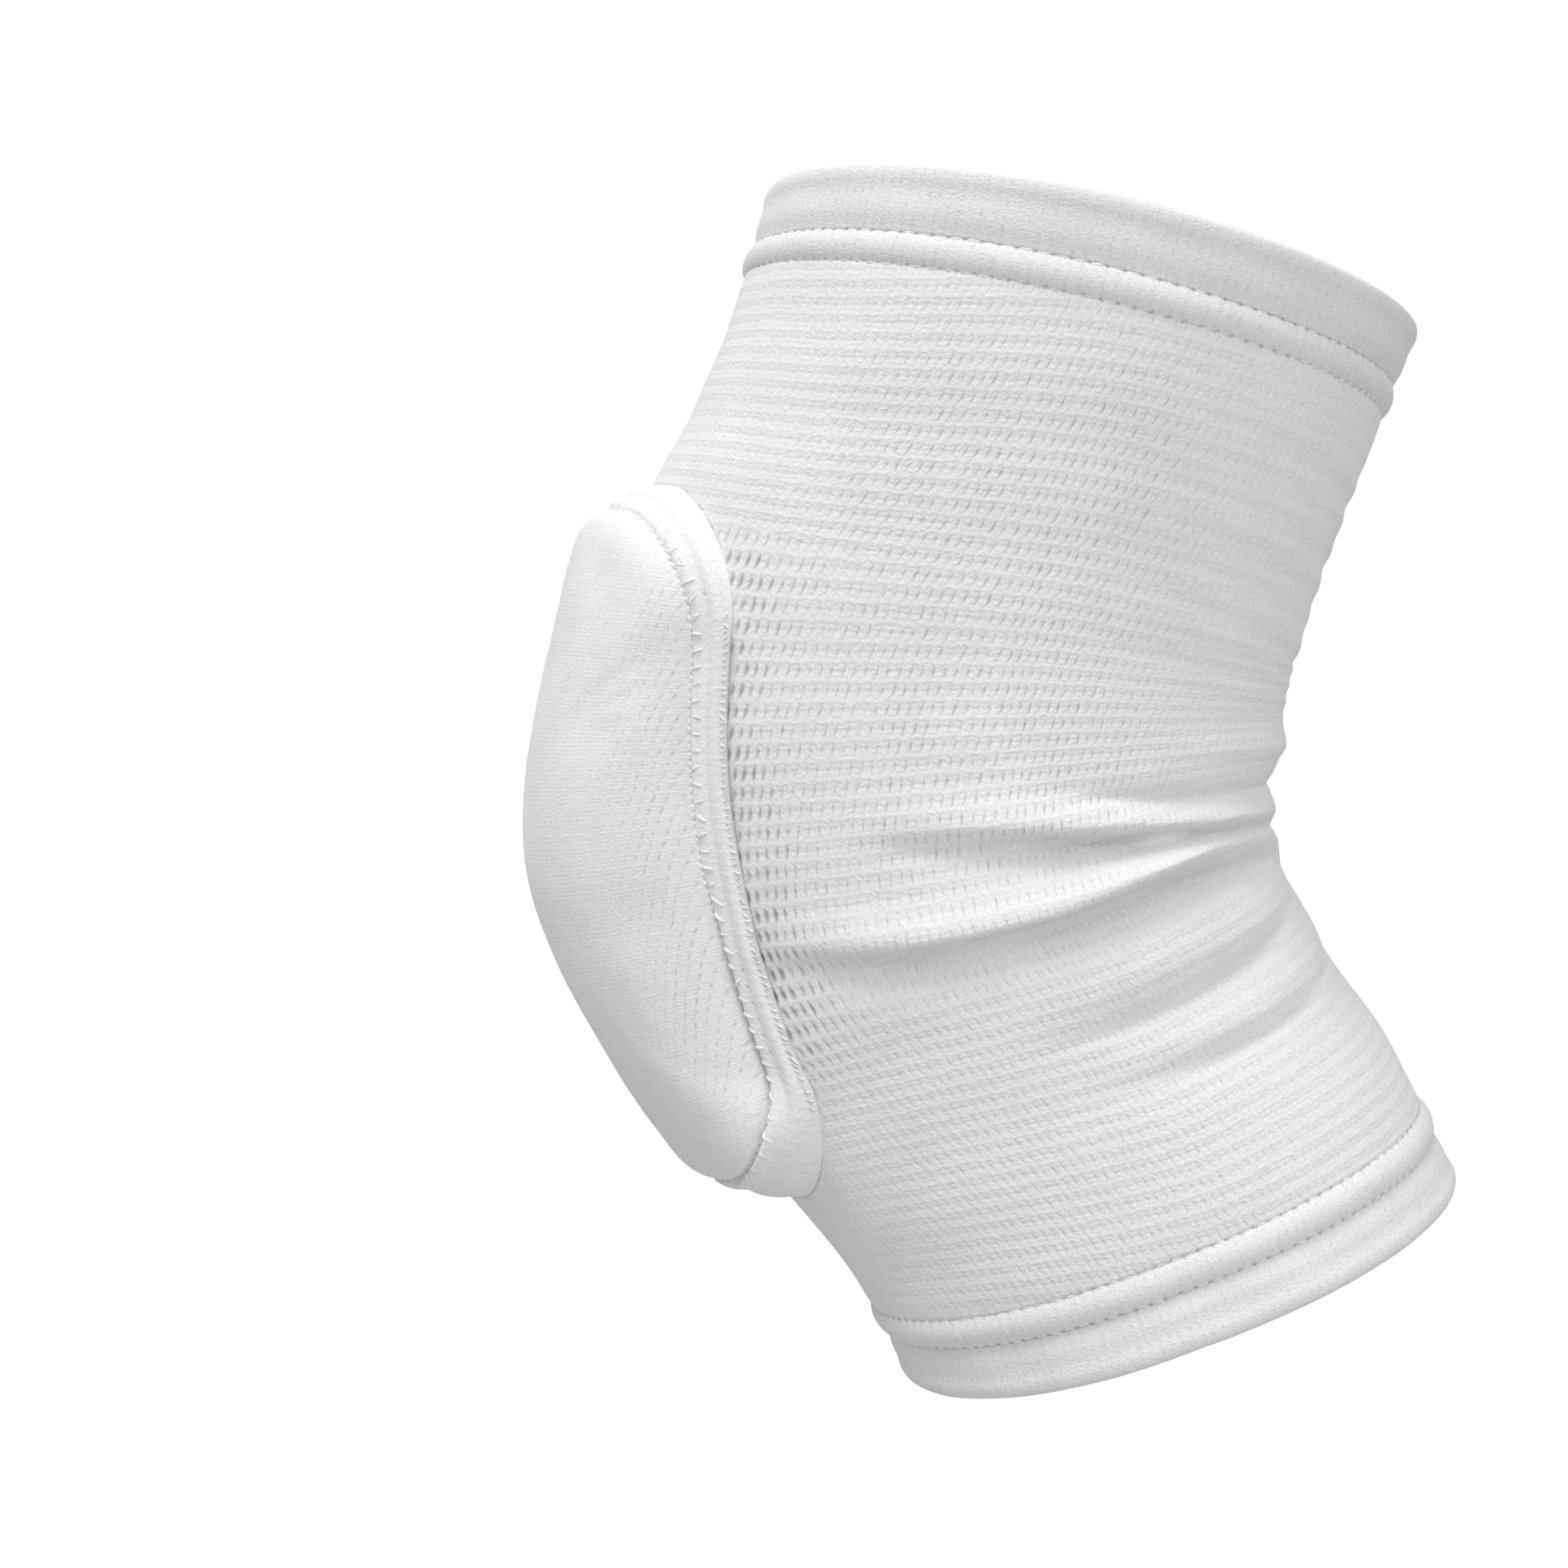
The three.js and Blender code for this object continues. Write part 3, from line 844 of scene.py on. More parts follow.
@dataclass(frozen=True)
class Finish:
    """What every cloth finish of the pad has: its tones, its sheen and its fine fibres."""

    name: str
    light: tuple = (0.935, 0.931, 0.935, 1.0)
    shade: tuple = (0.81, 0.807, 0.813, 1.0)
    # Painted shade: the colour that the holes, the grooves between the wales and the stitch pits are darkened
    # to.
    hole_shade: tuple = (0.2, 0.2, 0.215, 1.0)
    roughness: float = 0.92
    sheen: float = 0.15
    pit: float = 0.5
    # How dark the stitch pits are painted: painted shade in the stitch holes.
    pit_shade: float = 0.3
    pit_depth: float = 0.4
    fuzz_scale: float = 1.0
    fuzz_height: float = 0.00012
    knit_height: float = 0.0005

    def begin(self) -> tuple[Bench, bpy.types.Node, Socket, Socket, bpy.types.Material]:
        """Starts the material.

        Returns:
            The bench, the shader, the place in metres, the knit coordinates and the material.
        """
        material = bpy.data.materials.new(self.name)
        material.use_nodes = True
        bench = Bench(material.node_tree)
        shader = material.node_tree.nodes["Principled BSDF"]
        shader.inputs["Sheen Weight"].default_value = self.sheen
        shader.inputs["Sheen Roughness"].default_value = 0.5
        shader.inputs["Specular IOR Level"].default_value = 0.2
        place = bench.node("ShaderNodeTexCoord").outputs["Object"]
        knit = bench.node("ShaderNodeUVMap", uv_map="knit").outputs[0]
        return bench, shader, place, knit, material

    def end(
        self,
        bench: Bench,
        shader: bpy.types.Node,
        place: Socket,
        dark: Socket,
        height: Socket,
        glints: Socket,
    ) -> None:
        """Joins tones, fibres and relief to the shader.

        Args:
            bench: the material's bench.
            shader: its Principled shader.
            place: place in metres.
            dark: mask of the painted shade in the knit's holes and in the grooves between its wales.
            height: relief of the knit, in shares of knit_height.
            glints: mask of the painted highlights, where the loops of the yarn would catch the light.
        """
        if self.pit:
            knit = bench.node("ShaderNodeUVMap", uv_map="knit").outputs[0]
            seam = bench.node("ShaderNodeAttribute", attribute_name="seam").outputs["Fac"]
            pits = bench.group(Effect.stitch_pits(), Knit=knit, Seam=seam, Radius=self.pit).outputs["Pits"]
            # Painted shade in the stitch pits, which are also sunk in the bump.
            dark = bench.math("MAXIMUM", dark, bench.times(pits, self.pit_shade))
            height = bench.less(height, bench.times(pits, self.pit_depth))
        fuzz = bench.group(Effect.yarn_fuzz(), Place=place, Scale=self.fuzz_scale)
        worn = bench.group(Effect.handling(), Place=place)
        # Tone: the fibres' painted shade, random tone from handling and the painted highlights of the loops.
        tone = bench.times(fuzz.outputs["Shade"], 0.2)
        tone = bench.add(tone, bench.times(worn.outputs["Shade"], 0.3))
        tone = bench.add(tone, bench.times(glints, 0.5))
        cloth = bench.colour(tone, self.shade, self.light)
        # Painted shade: the cloth darkens towards the painted shade colour in its holes, grooves and stitch
        # pits.
        bench.feed(shader.inputs["Base Color"], bench.colour(dark, cloth, self.hole_shade))
        smooth, rough = self.roughness - 0.06, min(self.roughness + 0.04, 1.0)
        rough = bench.ramp(worn.outputs["Shade"], 0.0, 1.0, smooth, rough)
        bench.feed(shader.inputs["Roughness"], rough)
        relief = bench.node("ShaderNodeBump")
        relief.inputs["Distance"].default_value = self.knit_height
        bench.feed(relief.inputs["Height"], height)
        fibres = bench.node("ShaderNodeBump")
        fibres.inputs["Distance"].default_value = self.fuzz_height
        fibres.inputs["Strength"].default_value = 0.8
        bench.feed(fibres.inputs["Height"], fuzz.outputs["Height"])
        bench.feed(fibres.inputs["Normal"], relief.outputs[0])
        bench.feed(shader.inputs["Normal"], fibres.outputs[0])


@dataclass(frozen=True)
class OpenKnit(Finish):
    """Open rib knit of the tube, with slanted holes where it is stretched."""

    name: str = "open_knit"
    knit_height: float = 0.00026
    unevenness: float = 0.22
    rows: float = 0.2

    def material(self) -> bpy.types.Material:
        """Makes the material.

        Returns:
            The material.
        """
        bench, shader, place, knit, material = self.begin()
        openness = bench.node("ShaderNodeAttribute", attribute_name="openness").outputs["Fac"]
        lean = bench.node("ShaderNodeAttribute", attribute_name="lean").outputs["Fac"]
        values = {"Openness": openness, "Lean": lean, "Unevenness": self.unevenness, "Rows": self.rows}
        cells = bench.group(Effect.open_cells(), Knit=knit, **values)
        self.end(bench, shader, place, *[cells.outputs[label] for label in ("Holes", "Height", "Flecks")])
        return material


@dataclass(frozen=True)
class BrushedCover(OpenKnit):
    """Smooth brushed knit of the cup's cover, with short slits near its edge."""

    name: str = "brushed_cover"
    knit_height: float = 0.00016
    rows: float = 0.04
    sheen: float = 0.25


@dataclass(frozen=True)
class CloseKnit(Finish):
    """Close double knit of the hems and the welts, with tones painted darker as shade."""

    name: str = "close_knit"
    # Painted shade: tones darker than the open knit's, for the shade that falls on the hems and welts.
    light: tuple = (0.9, 0.896, 0.9, 1.0)
    shade: tuple = (0.78, 0.777, 0.783, 1.0)
    # Strength of the grooves between the wales: their painted shade and their bump.
    shaded_grooves: float = 0.15
    knit_height: float = 0.0002

    def material(self) -> bpy.types.Material:
        """Makes the material.

        Returns:
            The material.
        """
        bench, shader, place, knit, material = self.begin()
        wales = bench.group(Effect.close_wales(), Knit=knit, Strength=self.shaded_grooves)
        self.end(bench, shader, place, *[wales.outputs[label] for label in ("Marks", "Height", "Flecks")])
        return material


@dataclass(frozen=True)
class BorderKnit(CloseKnit):
    """Close knit of the border, painted paler as light on its strip, with fainter shaded grooves."""

    name: str = "border_knit"
    # Painted light: tones paler than the hems' close knit, for the light on the border's strip.
    light: tuple = (0.935, 0.931, 0.935, 1.0)
    shade: tuple = (0.84, 0.837, 0.843, 1.0)
    shaded_grooves: float = 0.1


@dataclass(frozen=True)
class Yarn(Finish):
    """Plain white thread of the stitches."""

    name: str = "yarn"
    pit: float = 0.0
    fuzz_scale: float = 1.4

    def material(self) -> bpy.types.Material:
        """Makes the material.

        Returns:
            The material.
        """
        bench, shader, place, _, material = self.begin()
        twist = bench.noise(bench.spread(place, 900.0, 900.0, 1400.0), 1.0, 1.0)
        # Painted shade and highlight: the thread is a little darker where its twist sinks and lighter where it
        # rises.
        dark = bench.ramp(twist, 0.3, 0.45, 0.06, 0.0)
        self.end(bench, shader, place, dark, twist, twist)
        return material


# The pieces of the pad


@dataclass
class Sleeve:
    """Open-knit tube between the two welts."""

    foot: float = -0.09415
    top: float = 0.08905
    wall: float = 0.002
    columns: int = 384
    rows: int = 210
    inner_rows: int = 36
    wales: int = 186
    crowding: float = 0.3
    thigh_course: float = 0.00345
    shin_course: float = 0.0031
    bend_courses: float = 0.06
    fan: float = 0.0085
    lean: float = 0.5
    seam_dip: float = 0.00015
    dip_reach: float = 0.0015
    pucker: float = 0.00008
    pucker_reach: float = 0.0035
    drag_height: float = 0.0002
    drag_pitches: tuple = (0.0068, 0.0113)
    drag_slope: float = 0.006
    uneven: float = 0.00018
    calm_edge: float = 0.006

    def relief(self, station: Array, angle: Array) -> Array:
        """Height of the drag lines and of the pull of the seams, above the plain tube.

        Args:
            station: stations, lengths along the axis.
            angle: angles round the tube, in radians.

        Returns:
            The heights.
        """
        edge = np.minimum(station - self.foot, self.top - station)
        dip = self.seam_dip * np.exp(-((edge / self.dip_reach) ** 2))
        pull = self.pucker * np.exp(-((edge / self.pucker_reach) ** 2)) * (1.0 + np.cos(angle * STITCHES))
        behind = soft_step(np.abs(angle), 1.7, 2.6)
        above = soft_step(station, 0.005, 0.03) * (1.0 - soft_step(station, 0.07, 0.085))
        slope = TURN * (station + self.drag_slope * np.abs(angle))
        lines = np.sin(slope / self.drag_pitches[0]) + 0.6 * np.sin(slope / self.drag_pitches[1] + 1.0)
        drag = self.drag_height * behind * above * lines
        waves = np.sin(3.0 * angle + station * 190.0) * np.sin(5.0 * angle - station * 120.0 + 0.7)
        uneven = self.uneven * waves
        calm = soft_step(edge, 0.0, self.calm_edge)
        return (drag + uneven) * calm - dip - pull

    def openness(self, station: Array, angle: Array) -> Array:
        """How wide the knit is pulled open, and so how dark its holes are painted as shade.

        Args:
            station: stations, lengths along the axis.
            angle: angles round the tube, in radians.

        Returns:
            Shares from 0 to 1.
        """
        aside = np.degrees(np.abs(angle))
        # Painted shadow: the first wales beside the border get darker holes for the shade that the border's lip
        # casts.
        first = np.exp(-np.maximum(aside - 47.0, 0.0) / 4.0)
        beside = 0.6 * (1.0 - soft_step(aside, 47.0, 66.0)) + 0.35 * first
        beside = beside * soft_step(station, -0.055, -0.03) * (1.0 - soft_step(station, 0.03, 0.04))
        middle = soft_step(aside, 38.0, 80.0) * (1.0 - soft_step(aside, 98.0, 140.0))
        high = soft_step(station, -0.03, 0.0) * (1.0 - 0.5 * soft_step(station, 0.06, 0.09))
        low = 0.22 * (1.0 - soft_step(station, -0.03, 0.0))
        return np.clip(beside + middle * (0.42 * high + low) + 0.04, 0.0, 1.0)

    def spots(self, station: Array, angle: Array) -> Array:
        """Wales and courses of the knit at some places.

        The wales crowd together at the two sides, and more courses lie across the front of the bend than
        behind it.

        Args:
            station: stations, in a column.
            angle: angles, in a row from one side of the back to the other.

        Returns:
            The two counts at every place.
        """
        degrees = np.degrees(np.abs(angle[0]))
        crowd = 1.0 + self.crowding * np.exp(-(((degrees - 82.0) / 24.0) ** 2))
        wales = running_total(crowd, angle[0])
        wales = wales / wales[-1] * self.wales
        table = np.linspace(self.foot, self.top, 400)
        pitch = between(self.shin_course, self.thigh_course, soft_step(table, -0.04, 0.0))
        courses = running_total((1.0 + self.bend_courses * np.exp(-((table / 0.04) ** 2))) / pitch, table)
        ahead = soft_step(np.cos(angle), -0.3, 0.75)
        fan = self.fan * np.tanh(station / 0.045) / self.thigh_course
        count = np.interp(station, table, courses) + fan * ahead
        return np.stack(np.broadcast_arrays(wales[None], count), axis=-1)

    def slant(self, station: Array, angle: Array) -> Array:
        """Slant of the holes: towards the back above the bend and towards the front below it."""
        side = np.clip(2.0 * np.sin(angle), -1.0, 1.0)
        return self.lean * side * (2.0 * soft_step(station, -0.04, 0.0) - 1.0)

    def build(self, form: Form, finish: bpy.types.Material) -> bpy.types.Object:
        """Makes the tube with its outside and its inside.

        Args:
            form: the bent form.
            finish: the material.

        Returns:
            The piece.
        """
        angle = np.linspace(-math.pi, math.pi, self.columns + 1)
        around = angle[:-1][None, :]
        outside = np.linspace(self.foot, self.top, self.rows)[:, None]
        inside = np.linspace(self.top, self.foot, self.inner_rows)[:, None]
        outer = form.point(outside, around, self.relief(outside, around))
        edge = np.minimum(inside - self.foot, self.top - inside)
        dip = self.seam_dip * np.exp(-((edge / self.dip_reach) ** 2))
        inner = form.point(inside, around, -self.wall - dip)
        stations = np.vstack([outside, inside])
        to_seam = np.minimum(stations - self.foot, self.top - stations) * MILLIMETRES
        openness = self.openness(stations, around)
        openness[self.rows :] *= 0.3
        grid = KnitGrid(
            name="sleeve_knit",
            points=np.vstack([outer, inner]),
            spots=self.spots(stations, angle[None, :]),
            masks={
                "openness": openness,
                "lean": self.slant(stations, around),
                "seam": np.broadcast_to(to_seam, openness.shape),
            },
        )
        piece = grid.build()
        finish_piece(piece, finish, "sleeve")
        return piece


class End(Enum):
    """The two ends of the tube: name, and stations of the free edge and of the hem's and the welt's seams."""

    UPPER = ("upper", 0.1083, 0.09495, 0.09495, 0.08905)
    LOWER = ("lower", -0.1112, -0.10005, -0.10005, -0.09415)


@dataclass
class Edge:
    """Folded hem and raised welt at one end of the tube, with the stitch rows beside the welt."""

    end: End
    hem_wall: float = 0.0034
    stands_off: float = 0.0008
    wall: float = 0.002
    seam_dip: float = 0.00015
    dip_reach: float = 0.0026
    welt_rise: float = 0.00095
    edge_roll: float = 0.00035
    tuck: float = 0.0003
    course: float = 0.0021
    columns: int = 512
    pucker: float = 0.00008
    thread: float = 0.00022

    def ring(
        self, name: str, form: Form, station: Array, lift: Array, finish: bpy.types.Material
    ) -> bpy.types.Object:
        """Ring round the form from a section, which goes up the outside and down the inside.

        Args:
            name: the piece's name; the node that it stands for has the same name without its ending.
            form: the bent form.
            station: stations of the section.
            lift: its lifts.
            finish: the material.

        Returns:
            The ring.
        """
        angle = np.linspace(-math.pi, math.pi, self.columns + 1)
        around = angle[:-1][None, :]
        seams = np.array(self.end.value[2:])[:, None, None]
        near = np.min(np.abs(station[None, :, None] - seams), axis=0)
        pull = self.pucker * np.exp(-((near / 0.0022) ** 2)) * (1.0 + np.cos(around * STITCHES))
        waver = 0.00012 * np.sin(7.0 * around + station[:, None] * 300.0) * np.sin(11.0 * around + 0.5)
        outside = lift[:, None] > -self.wall
        points = form.point(station[:, None], around, lift[:, None] + np.where(outside, waver - pull, 0.0))
        run = np.concatenate([[0.0], np.cumsum(np.hypot(np.diff(station), np.diff(lift)))])
        wales = (angle + math.pi) / TURN * STITCHES * STITCH_WALES
        seam = np.broadcast_to(near * MILLIMETRES, points.shape[:2])
        grid = KnitGrid(name, points, level_knit(wales, run / self.course), masks={"seam": seam})
        piece = grid.build()
        finish_piece(piece, finish, name.replace("_knit", ""))
        return piece

    def hem(self, form: Form, finish: bpy.types.Material) -> bpy.types.Object:
        """Makes the folded hem with its round free edge.

        Args:
            form: the bent form.
            finish: the material.

        Returns:
            The piece.
        """
        name, free, sewn, _, _ = self.end.value
        height, round_ = abs(free - sewn), self.hem_wall / 2.0
        away = np.linspace(height, round_, 15)
        dip = (self.stands_off + self.seam_dip) * np.exp(-(((height - away) / self.dip_reach) ** 2))
        turn = np.linspace(math.pi / 2, 1.5 * math.pi, 11)[1:-1]
        inner = np.linspace(round_, height, 6)
        place = np.concatenate([away, round_ + round_ * np.cos(turn), inner])
        low = self.stands_off - self.hem_wall
        edge_roll = self.edge_roll * np.exp(-(((away - 0.0024) / 0.0013) ** 2))
        outer = self.stands_off - dip + edge_roll - self.tuck * soft_step(away, 0.003, 0.006)
        middle, half = (outer[-1] + low) / 2.0, (outer[-1] - low) / 2.0
        lift = np.concatenate([outer, middle + half * np.sin(turn), np.full(6, low)])
        way = 1.0 if sewn > free else -1.0
        station = free + way * place
        if way > 0:
            station, lift = station[::-1], lift[::-1]
        return self.ring(f"{name}_hem_knit", form, station, lift, finish)

    def welt(self, form: Form, finish: bpy.types.Material) -> bpy.types.Object:
        """Makes the raised roll between the two stitch rows.

        Args:
            form: the bent form.
            finish: the material.

        Returns:
            The piece.
        """
        name, _, _, first, second = self.end.value
        foot, top = min(first, second), max(first, second)
        share = 0.5 - 0.5 * np.cos(np.linspace(0.0, math.pi, 15))
        crown = (1.0 - np.abs(2.0 * share - 1.0) ** 2.2) ** 0.95
        lift = -self.seam_dip + (self.welt_rise + self.seam_dip) * crown
        station = between(foot, top, share)
        low = -self.seam_dip - self.wall
        back = np.linspace(top, foot, 4)
        station = np.concatenate([station, back])
        lift = np.concatenate([lift, np.full(len(back), low)])
        return self.ring(f"{name}_welt_knit", form, station, lift, finish)

    def stitch_rows(self, form: Form, finish: bpy.types.Material) -> list[bpy.types.Object]:
        """Makes the two rows of stitches in the grooves beside the welt.

        Args:
            form: the bent form.
            finish: the material.

        Returns:
            The two pieces.
        """
        made = []
        for row, seam in zip(("hem", "tube"), self.end.value[2:][1:]):
            pitch = TURN / STITCHES
            middle = (np.arange(STITCHES) + 0.5)[:, None] * pitch - math.pi
            share = np.linspace(-1.0, 1.0, 7)[None, :]
            angle = middle + 0.36 * pitch * share
            lift = -self.seam_dip - 0.0001 - 0.0005 * share**4
            station = np.full_like(angle, seam) + 0.00012 * np.sin(middle * 37.0)
            paths = form.point(station, angle, lift)
            name = f"{self.end.value[0]}_{row}_stitches"
            piece = ThreadSet(name, paths, form.outward(station, angle), self.thread).build()
            finish_piece(piece, finish)
            made.append(piece)
        return made


@dataclass
class CupPlan:
    """Flat outline and heights that the cup and its border share."""

    top_width: float = 0.094
    foot_width: float = 0.080
    height: float = 0.1346
    top_corner: float = 0.020
    foot_corner: float = 0.015
    drop: float = 0.0092
    clearance: float = 0.0003
    border_top: float = 0.006
    border_shoulder: float = 0.0065
    border_shin: float = 0.0074
    border_foot: float = 0.0088
    top_rise: float = 0.0076
    side_rise: float = 0.0034
    foot_rise: float = 0.0115

    def outline(self, share: float, count: int) -> Array:
        """Points at even steps round the cup's edge, clockwise from the front.

        Args:
            share: 0 for the cup's edge, up to 1 for the border's free edge.
            count: number of points.

        Returns:
            Lengths round the form and up it, from the cup's middle.
        """

        def grow(size: float, width: float) -> float:
            """Size grown by a share of a border width."""
            return size + between(self.clearance if share > 0 else 0.0, width, share)

        top = grow(self.height / 2, self.border_top)
        foot = grow(self.height / 2, self.border_foot)
        top_side = grow(self.top_width / 2, self.border_shoulder)
        foot_side = grow(self.foot_width / 2, self.border_shin)
        top_round = grow(self.top_corner, self.border_top)
        foot_round = grow(self.foot_corner, self.border_foot)
        corners = [
            (top_side - top_round, top - top_round, top_round, math.pi / 2),
            (foot_side - foot_round, foot_round - foot, foot_round, 0.0),
            (foot_round - foot_side, foot_round - foot, foot_round, -math.pi / 2),
            (top_round - top_side, top - top_round, top_round, -math.pi),
        ]
        path = [np.array([[0.0, top]])]
        for x, y, radius, start in corners:
            turn = start - np.linspace(0.0, math.pi / 2, 24)
            path.append(np.stack([x + radius * np.cos(turn), y + radius * np.sin(turn)], axis=1))
        path.append(np.array([[0.0, top]]))
        path = np.vstack(path)
        run = np.concatenate([[0.0], np.cumsum(np.linalg.norm(np.diff(path, axis=0), axis=1))])
        steps = np.arange(count) / count * run[-1]
        return np.stack([np.interp(steps, run, path[:, 0]), np.interp(steps, run, path[:, 1])], axis=1)

    def round_cup(self, heading: Array, top: float, side: float, foot: float) -> Array:
        """Value that changes from the cup's sides to its top, at heading 1, and its foot, at heading -1."""
        end = np.where(heading > 0, top, foot)
        return between(side, end, soft_step(np.abs(heading), 0.55, 1.0))

    def border_rise(self, heading: Array) -> Array:
        """Height of the border's inner edge above the tube.

        Args:
            heading: places up the cup, -1 at its foot and 1 at its top.

        Returns:
            The heights.
        """
        top = soft_step(heading, 0.55, 1.0) * (self.top_rise - self.side_rise)
        foot = soft_step(-heading, 0.72, 1.0) * (self.foot_rise - self.side_rise)
        return self.side_rise + top + foot

    def place(self, form: Form, flat: Array) -> tuple[Array, Array]:
        """Stations and angles of flat points."""
        return form.front_place(flat[..., 0], flat[..., 1] - self.drop)


@dataclass
class Cup:
    """Padded cup with its brushed cover."""

    plan: CupPlan
    thickness: float = 0.026
    end_round: float = 0.009
    corner_round: float = 0.029
    dent: float = 0.0011
    dent_drop: float = 0.012
    dent_reach: float = 0.007
    side_round: float = 0.030
    side_thinning: float = 0.16
    edge_out: float = 2.2
    edge_up: float = 1.6
    columns: int = 240
    shares: tuple = (0.02, 0.05, 0.1)
    wale: float = 0.0014
    course: float = 0.0023
    slimming: float = 0.0005
    swelling: float = 0.001
    trial_step: float = 0.005
    trial_frames: int = 20
    trial_pressure: float = 4.0
    smoothing: int = 20

    def profile(self) -> TableCurve:
        """Thickness along the cup's middle, from its foot to its top.

        Returns:
            The curve.
        """
        along = [-1.0, -0.83, -0.55, -0.26, -0.045, 0.23, 0.57, 1.0]
        thick = [0.6, 0.67, 0.785, 0.935, 1.0, 0.88, 0.68, 0.49]
        return TableCurve(along, [self.thickness * t for t in thick])

    def face(self, flat: Array, share: Array) -> Array:
        """Height of the cover above the tube.

        Args:
            flat: flat points, in rings.
            share: each ring's share of the way to the edge.

        Returns:
            The heights.
        """
        top = self.plan.height / 2
        heading = flat[..., 1] / share / top
        across = np.abs(flat[..., 0]) / share / (self.plan.foot_width / 2)
        corner = soft_step(-heading, 0.3, 0.8) * soft_step(across, 0.25, 0.9)
        end = between(self.end_round, self.corner_round, corner)
        round_ = between(self.side_round, end, soft_step(np.abs(heading), 0.6, 1.0))
        reach = np.linalg.norm(flat, axis=-1) / share
        near = np.clip((1.0 - share) * reach / round_, 0.0, 1.0)
        aside = flat[..., 0] / (self.plan.top_width / 2)
        full = self.profile().at(flat[..., 1] / top) * (1.0 - self.side_thinning * aside * aside)
        dent = np.exp(-(((flat[..., 1] + self.dent_drop) / self.dent_reach) ** 2))
        dent = dent * soft_step(np.abs(aside), 0.45, 0.8)
        full = full - self.dent * dent * (1.0 - soft_step(share, 0.93, 1.0))
        roundness = (1.0 - (1.0 - near) ** self.edge_out) ** (1 / self.edge_up)
        return between(self.plan.border_rise(heading), full, roundness)

    def build(self, form: Form, finish: bpy.types.Material) -> bpy.types.Object:
        """Makes the cup.

        Args:
            form: the bent form.
            finish: the material.

        Returns:
            The piece.
        """
        rim = 1.0 - np.linspace(0.39, 0.0, 15)[1:] ** 2
        shares = np.concatenate([self.shares, np.linspace(0.16, 0.82, 18), rim])
        edge = self.plan.outline(0.0, self.columns)
        flat = edge[None] * shares[:, None, None]
        station, angle = self.plan.place(form, flat)
        free = 1.0 - soft_step(shares, 0.86, 0.99)[:, None] * np.ones(self.columns)
        start = self.face(flat, shares[:, None]) - self.slimming * free
        over = form.point(station, angle, start)
        under_shares = np.array([1.0, 0.8, 0.5, 0.2])
        seat = self.plan.place(form, edge[None] * under_shares[:, None, None])
        under = form.point(*seat, self.plan.clearance)
        middle = self.plan.place(form, np.zeros((1, 2)))
        poles = (form.point(*middle, self.profile().at(0.0)), form.point(*middle, self.plan.clearance))
        spots = np.vstack([flat, edge[None] * under_shares[:, None, None]])
        heading = np.abs(edge[:, 1]) / (self.plan.height / 2)
        rows = np.concatenate([shares, np.zeros(len(under_shares))])[:, None]
        openness = 0.34 * soft_step(rows, 0.7, 0.95) * (1.0 - soft_step(heading, 0.72, 0.95))[None] + 0.05
        grid = KnitGrid(
            name="cup_cover",
            points=np.vstack([over, under]),
            spots=spots[:, list(range(self.columns)) + [0]] / np.array([self.wale, self.course]),
            closed=False,
            poles=poles,
            masks={
                "openness": openness,
                "lean": np.full(openness.shape, 0.5),
                "seam": np.full(openness.shape, NO_SEAM),
            },
        )
        piece = grid.build()
        held = np.zeros((len(under_shares), self.columns))
        self.swell(piece, np.concatenate([free.ravel(), held.ravel(), [1.0, 0.0]]))
        finish_piece(piece, finish, "cup")
        return piece

    def swell(self, piece: bpy.types.Object, free: Array) -> None:
        """Lets the padding press the cover out in a short cloth simulation.

        Args:
            piece: the cup, a little slimmer than it ends up.
            free: how far each point may move, 0 at the seam and on the back and 1 on the face.
        """
        scene = bpy.context.scene
        own = places_of(piece.data)
        trial = bpy.data.objects.new("trial_cover", piece.data.copy())
        scene.collection.objects.link(trial)
        remesh = trial.modifiers.new("even", "REMESH")
        remesh.mode = "VOXEL"
        remesh.voxel_size = self.trial_step
        even = solved_mesh(trial)
        trial.modifiers.clear()
        trial.data = even
        rest = places_of(even)
        pinned = trial.vertex_groups.new(name="pinned")
        for number, row in enumerate(blend_weights(own, rest, 1)[0]):
            pinned.add([number], float(1.0 - free[row[0]]), "REPLACE")
        cloth = trial.modifiers.new("cloth", "CLOTH")
        cloth.settings.vertex_group_mass = "pinned"
        cloth.settings.use_pressure = True
        cloth.settings.uniform_pressure_force = self.trial_pressure
        cloth.settings.effector_weights.gravity = 0.0
        cloth.point_cache.frame_end = self.trial_frames
        for number in range(1, self.trial_frames + 1):
            scene.frame_set(number)
        moved = places_of(solved_mesh(trial)) - rest
        bpy.data.objects.remove(trial)
        scene.frame_set(1)
        near, weights = blend_weights(rest, own, self.smoothing)
        push = np.sum(moved[near] * weights[..., None], axis=1) * free[:, None]
        length = np.linalg.norm(push, axis=1)
        gain = self.slimming / max(float(np.median(length[free > 0.9])), 1e-6)
        push = push * gain
        length = length * gain
        capped = np.minimum(length, self.swelling)
        push = push * (capped / np.maximum(length, 1e-9))[:, None]
        piece.data.vertices.foreach_set("co", (own + push).ravel())
        piece.data.update()
        log.info("cup: cover swelled by up to %.2f mm in the cloth simulation", MILLIMETRES * capped.max())


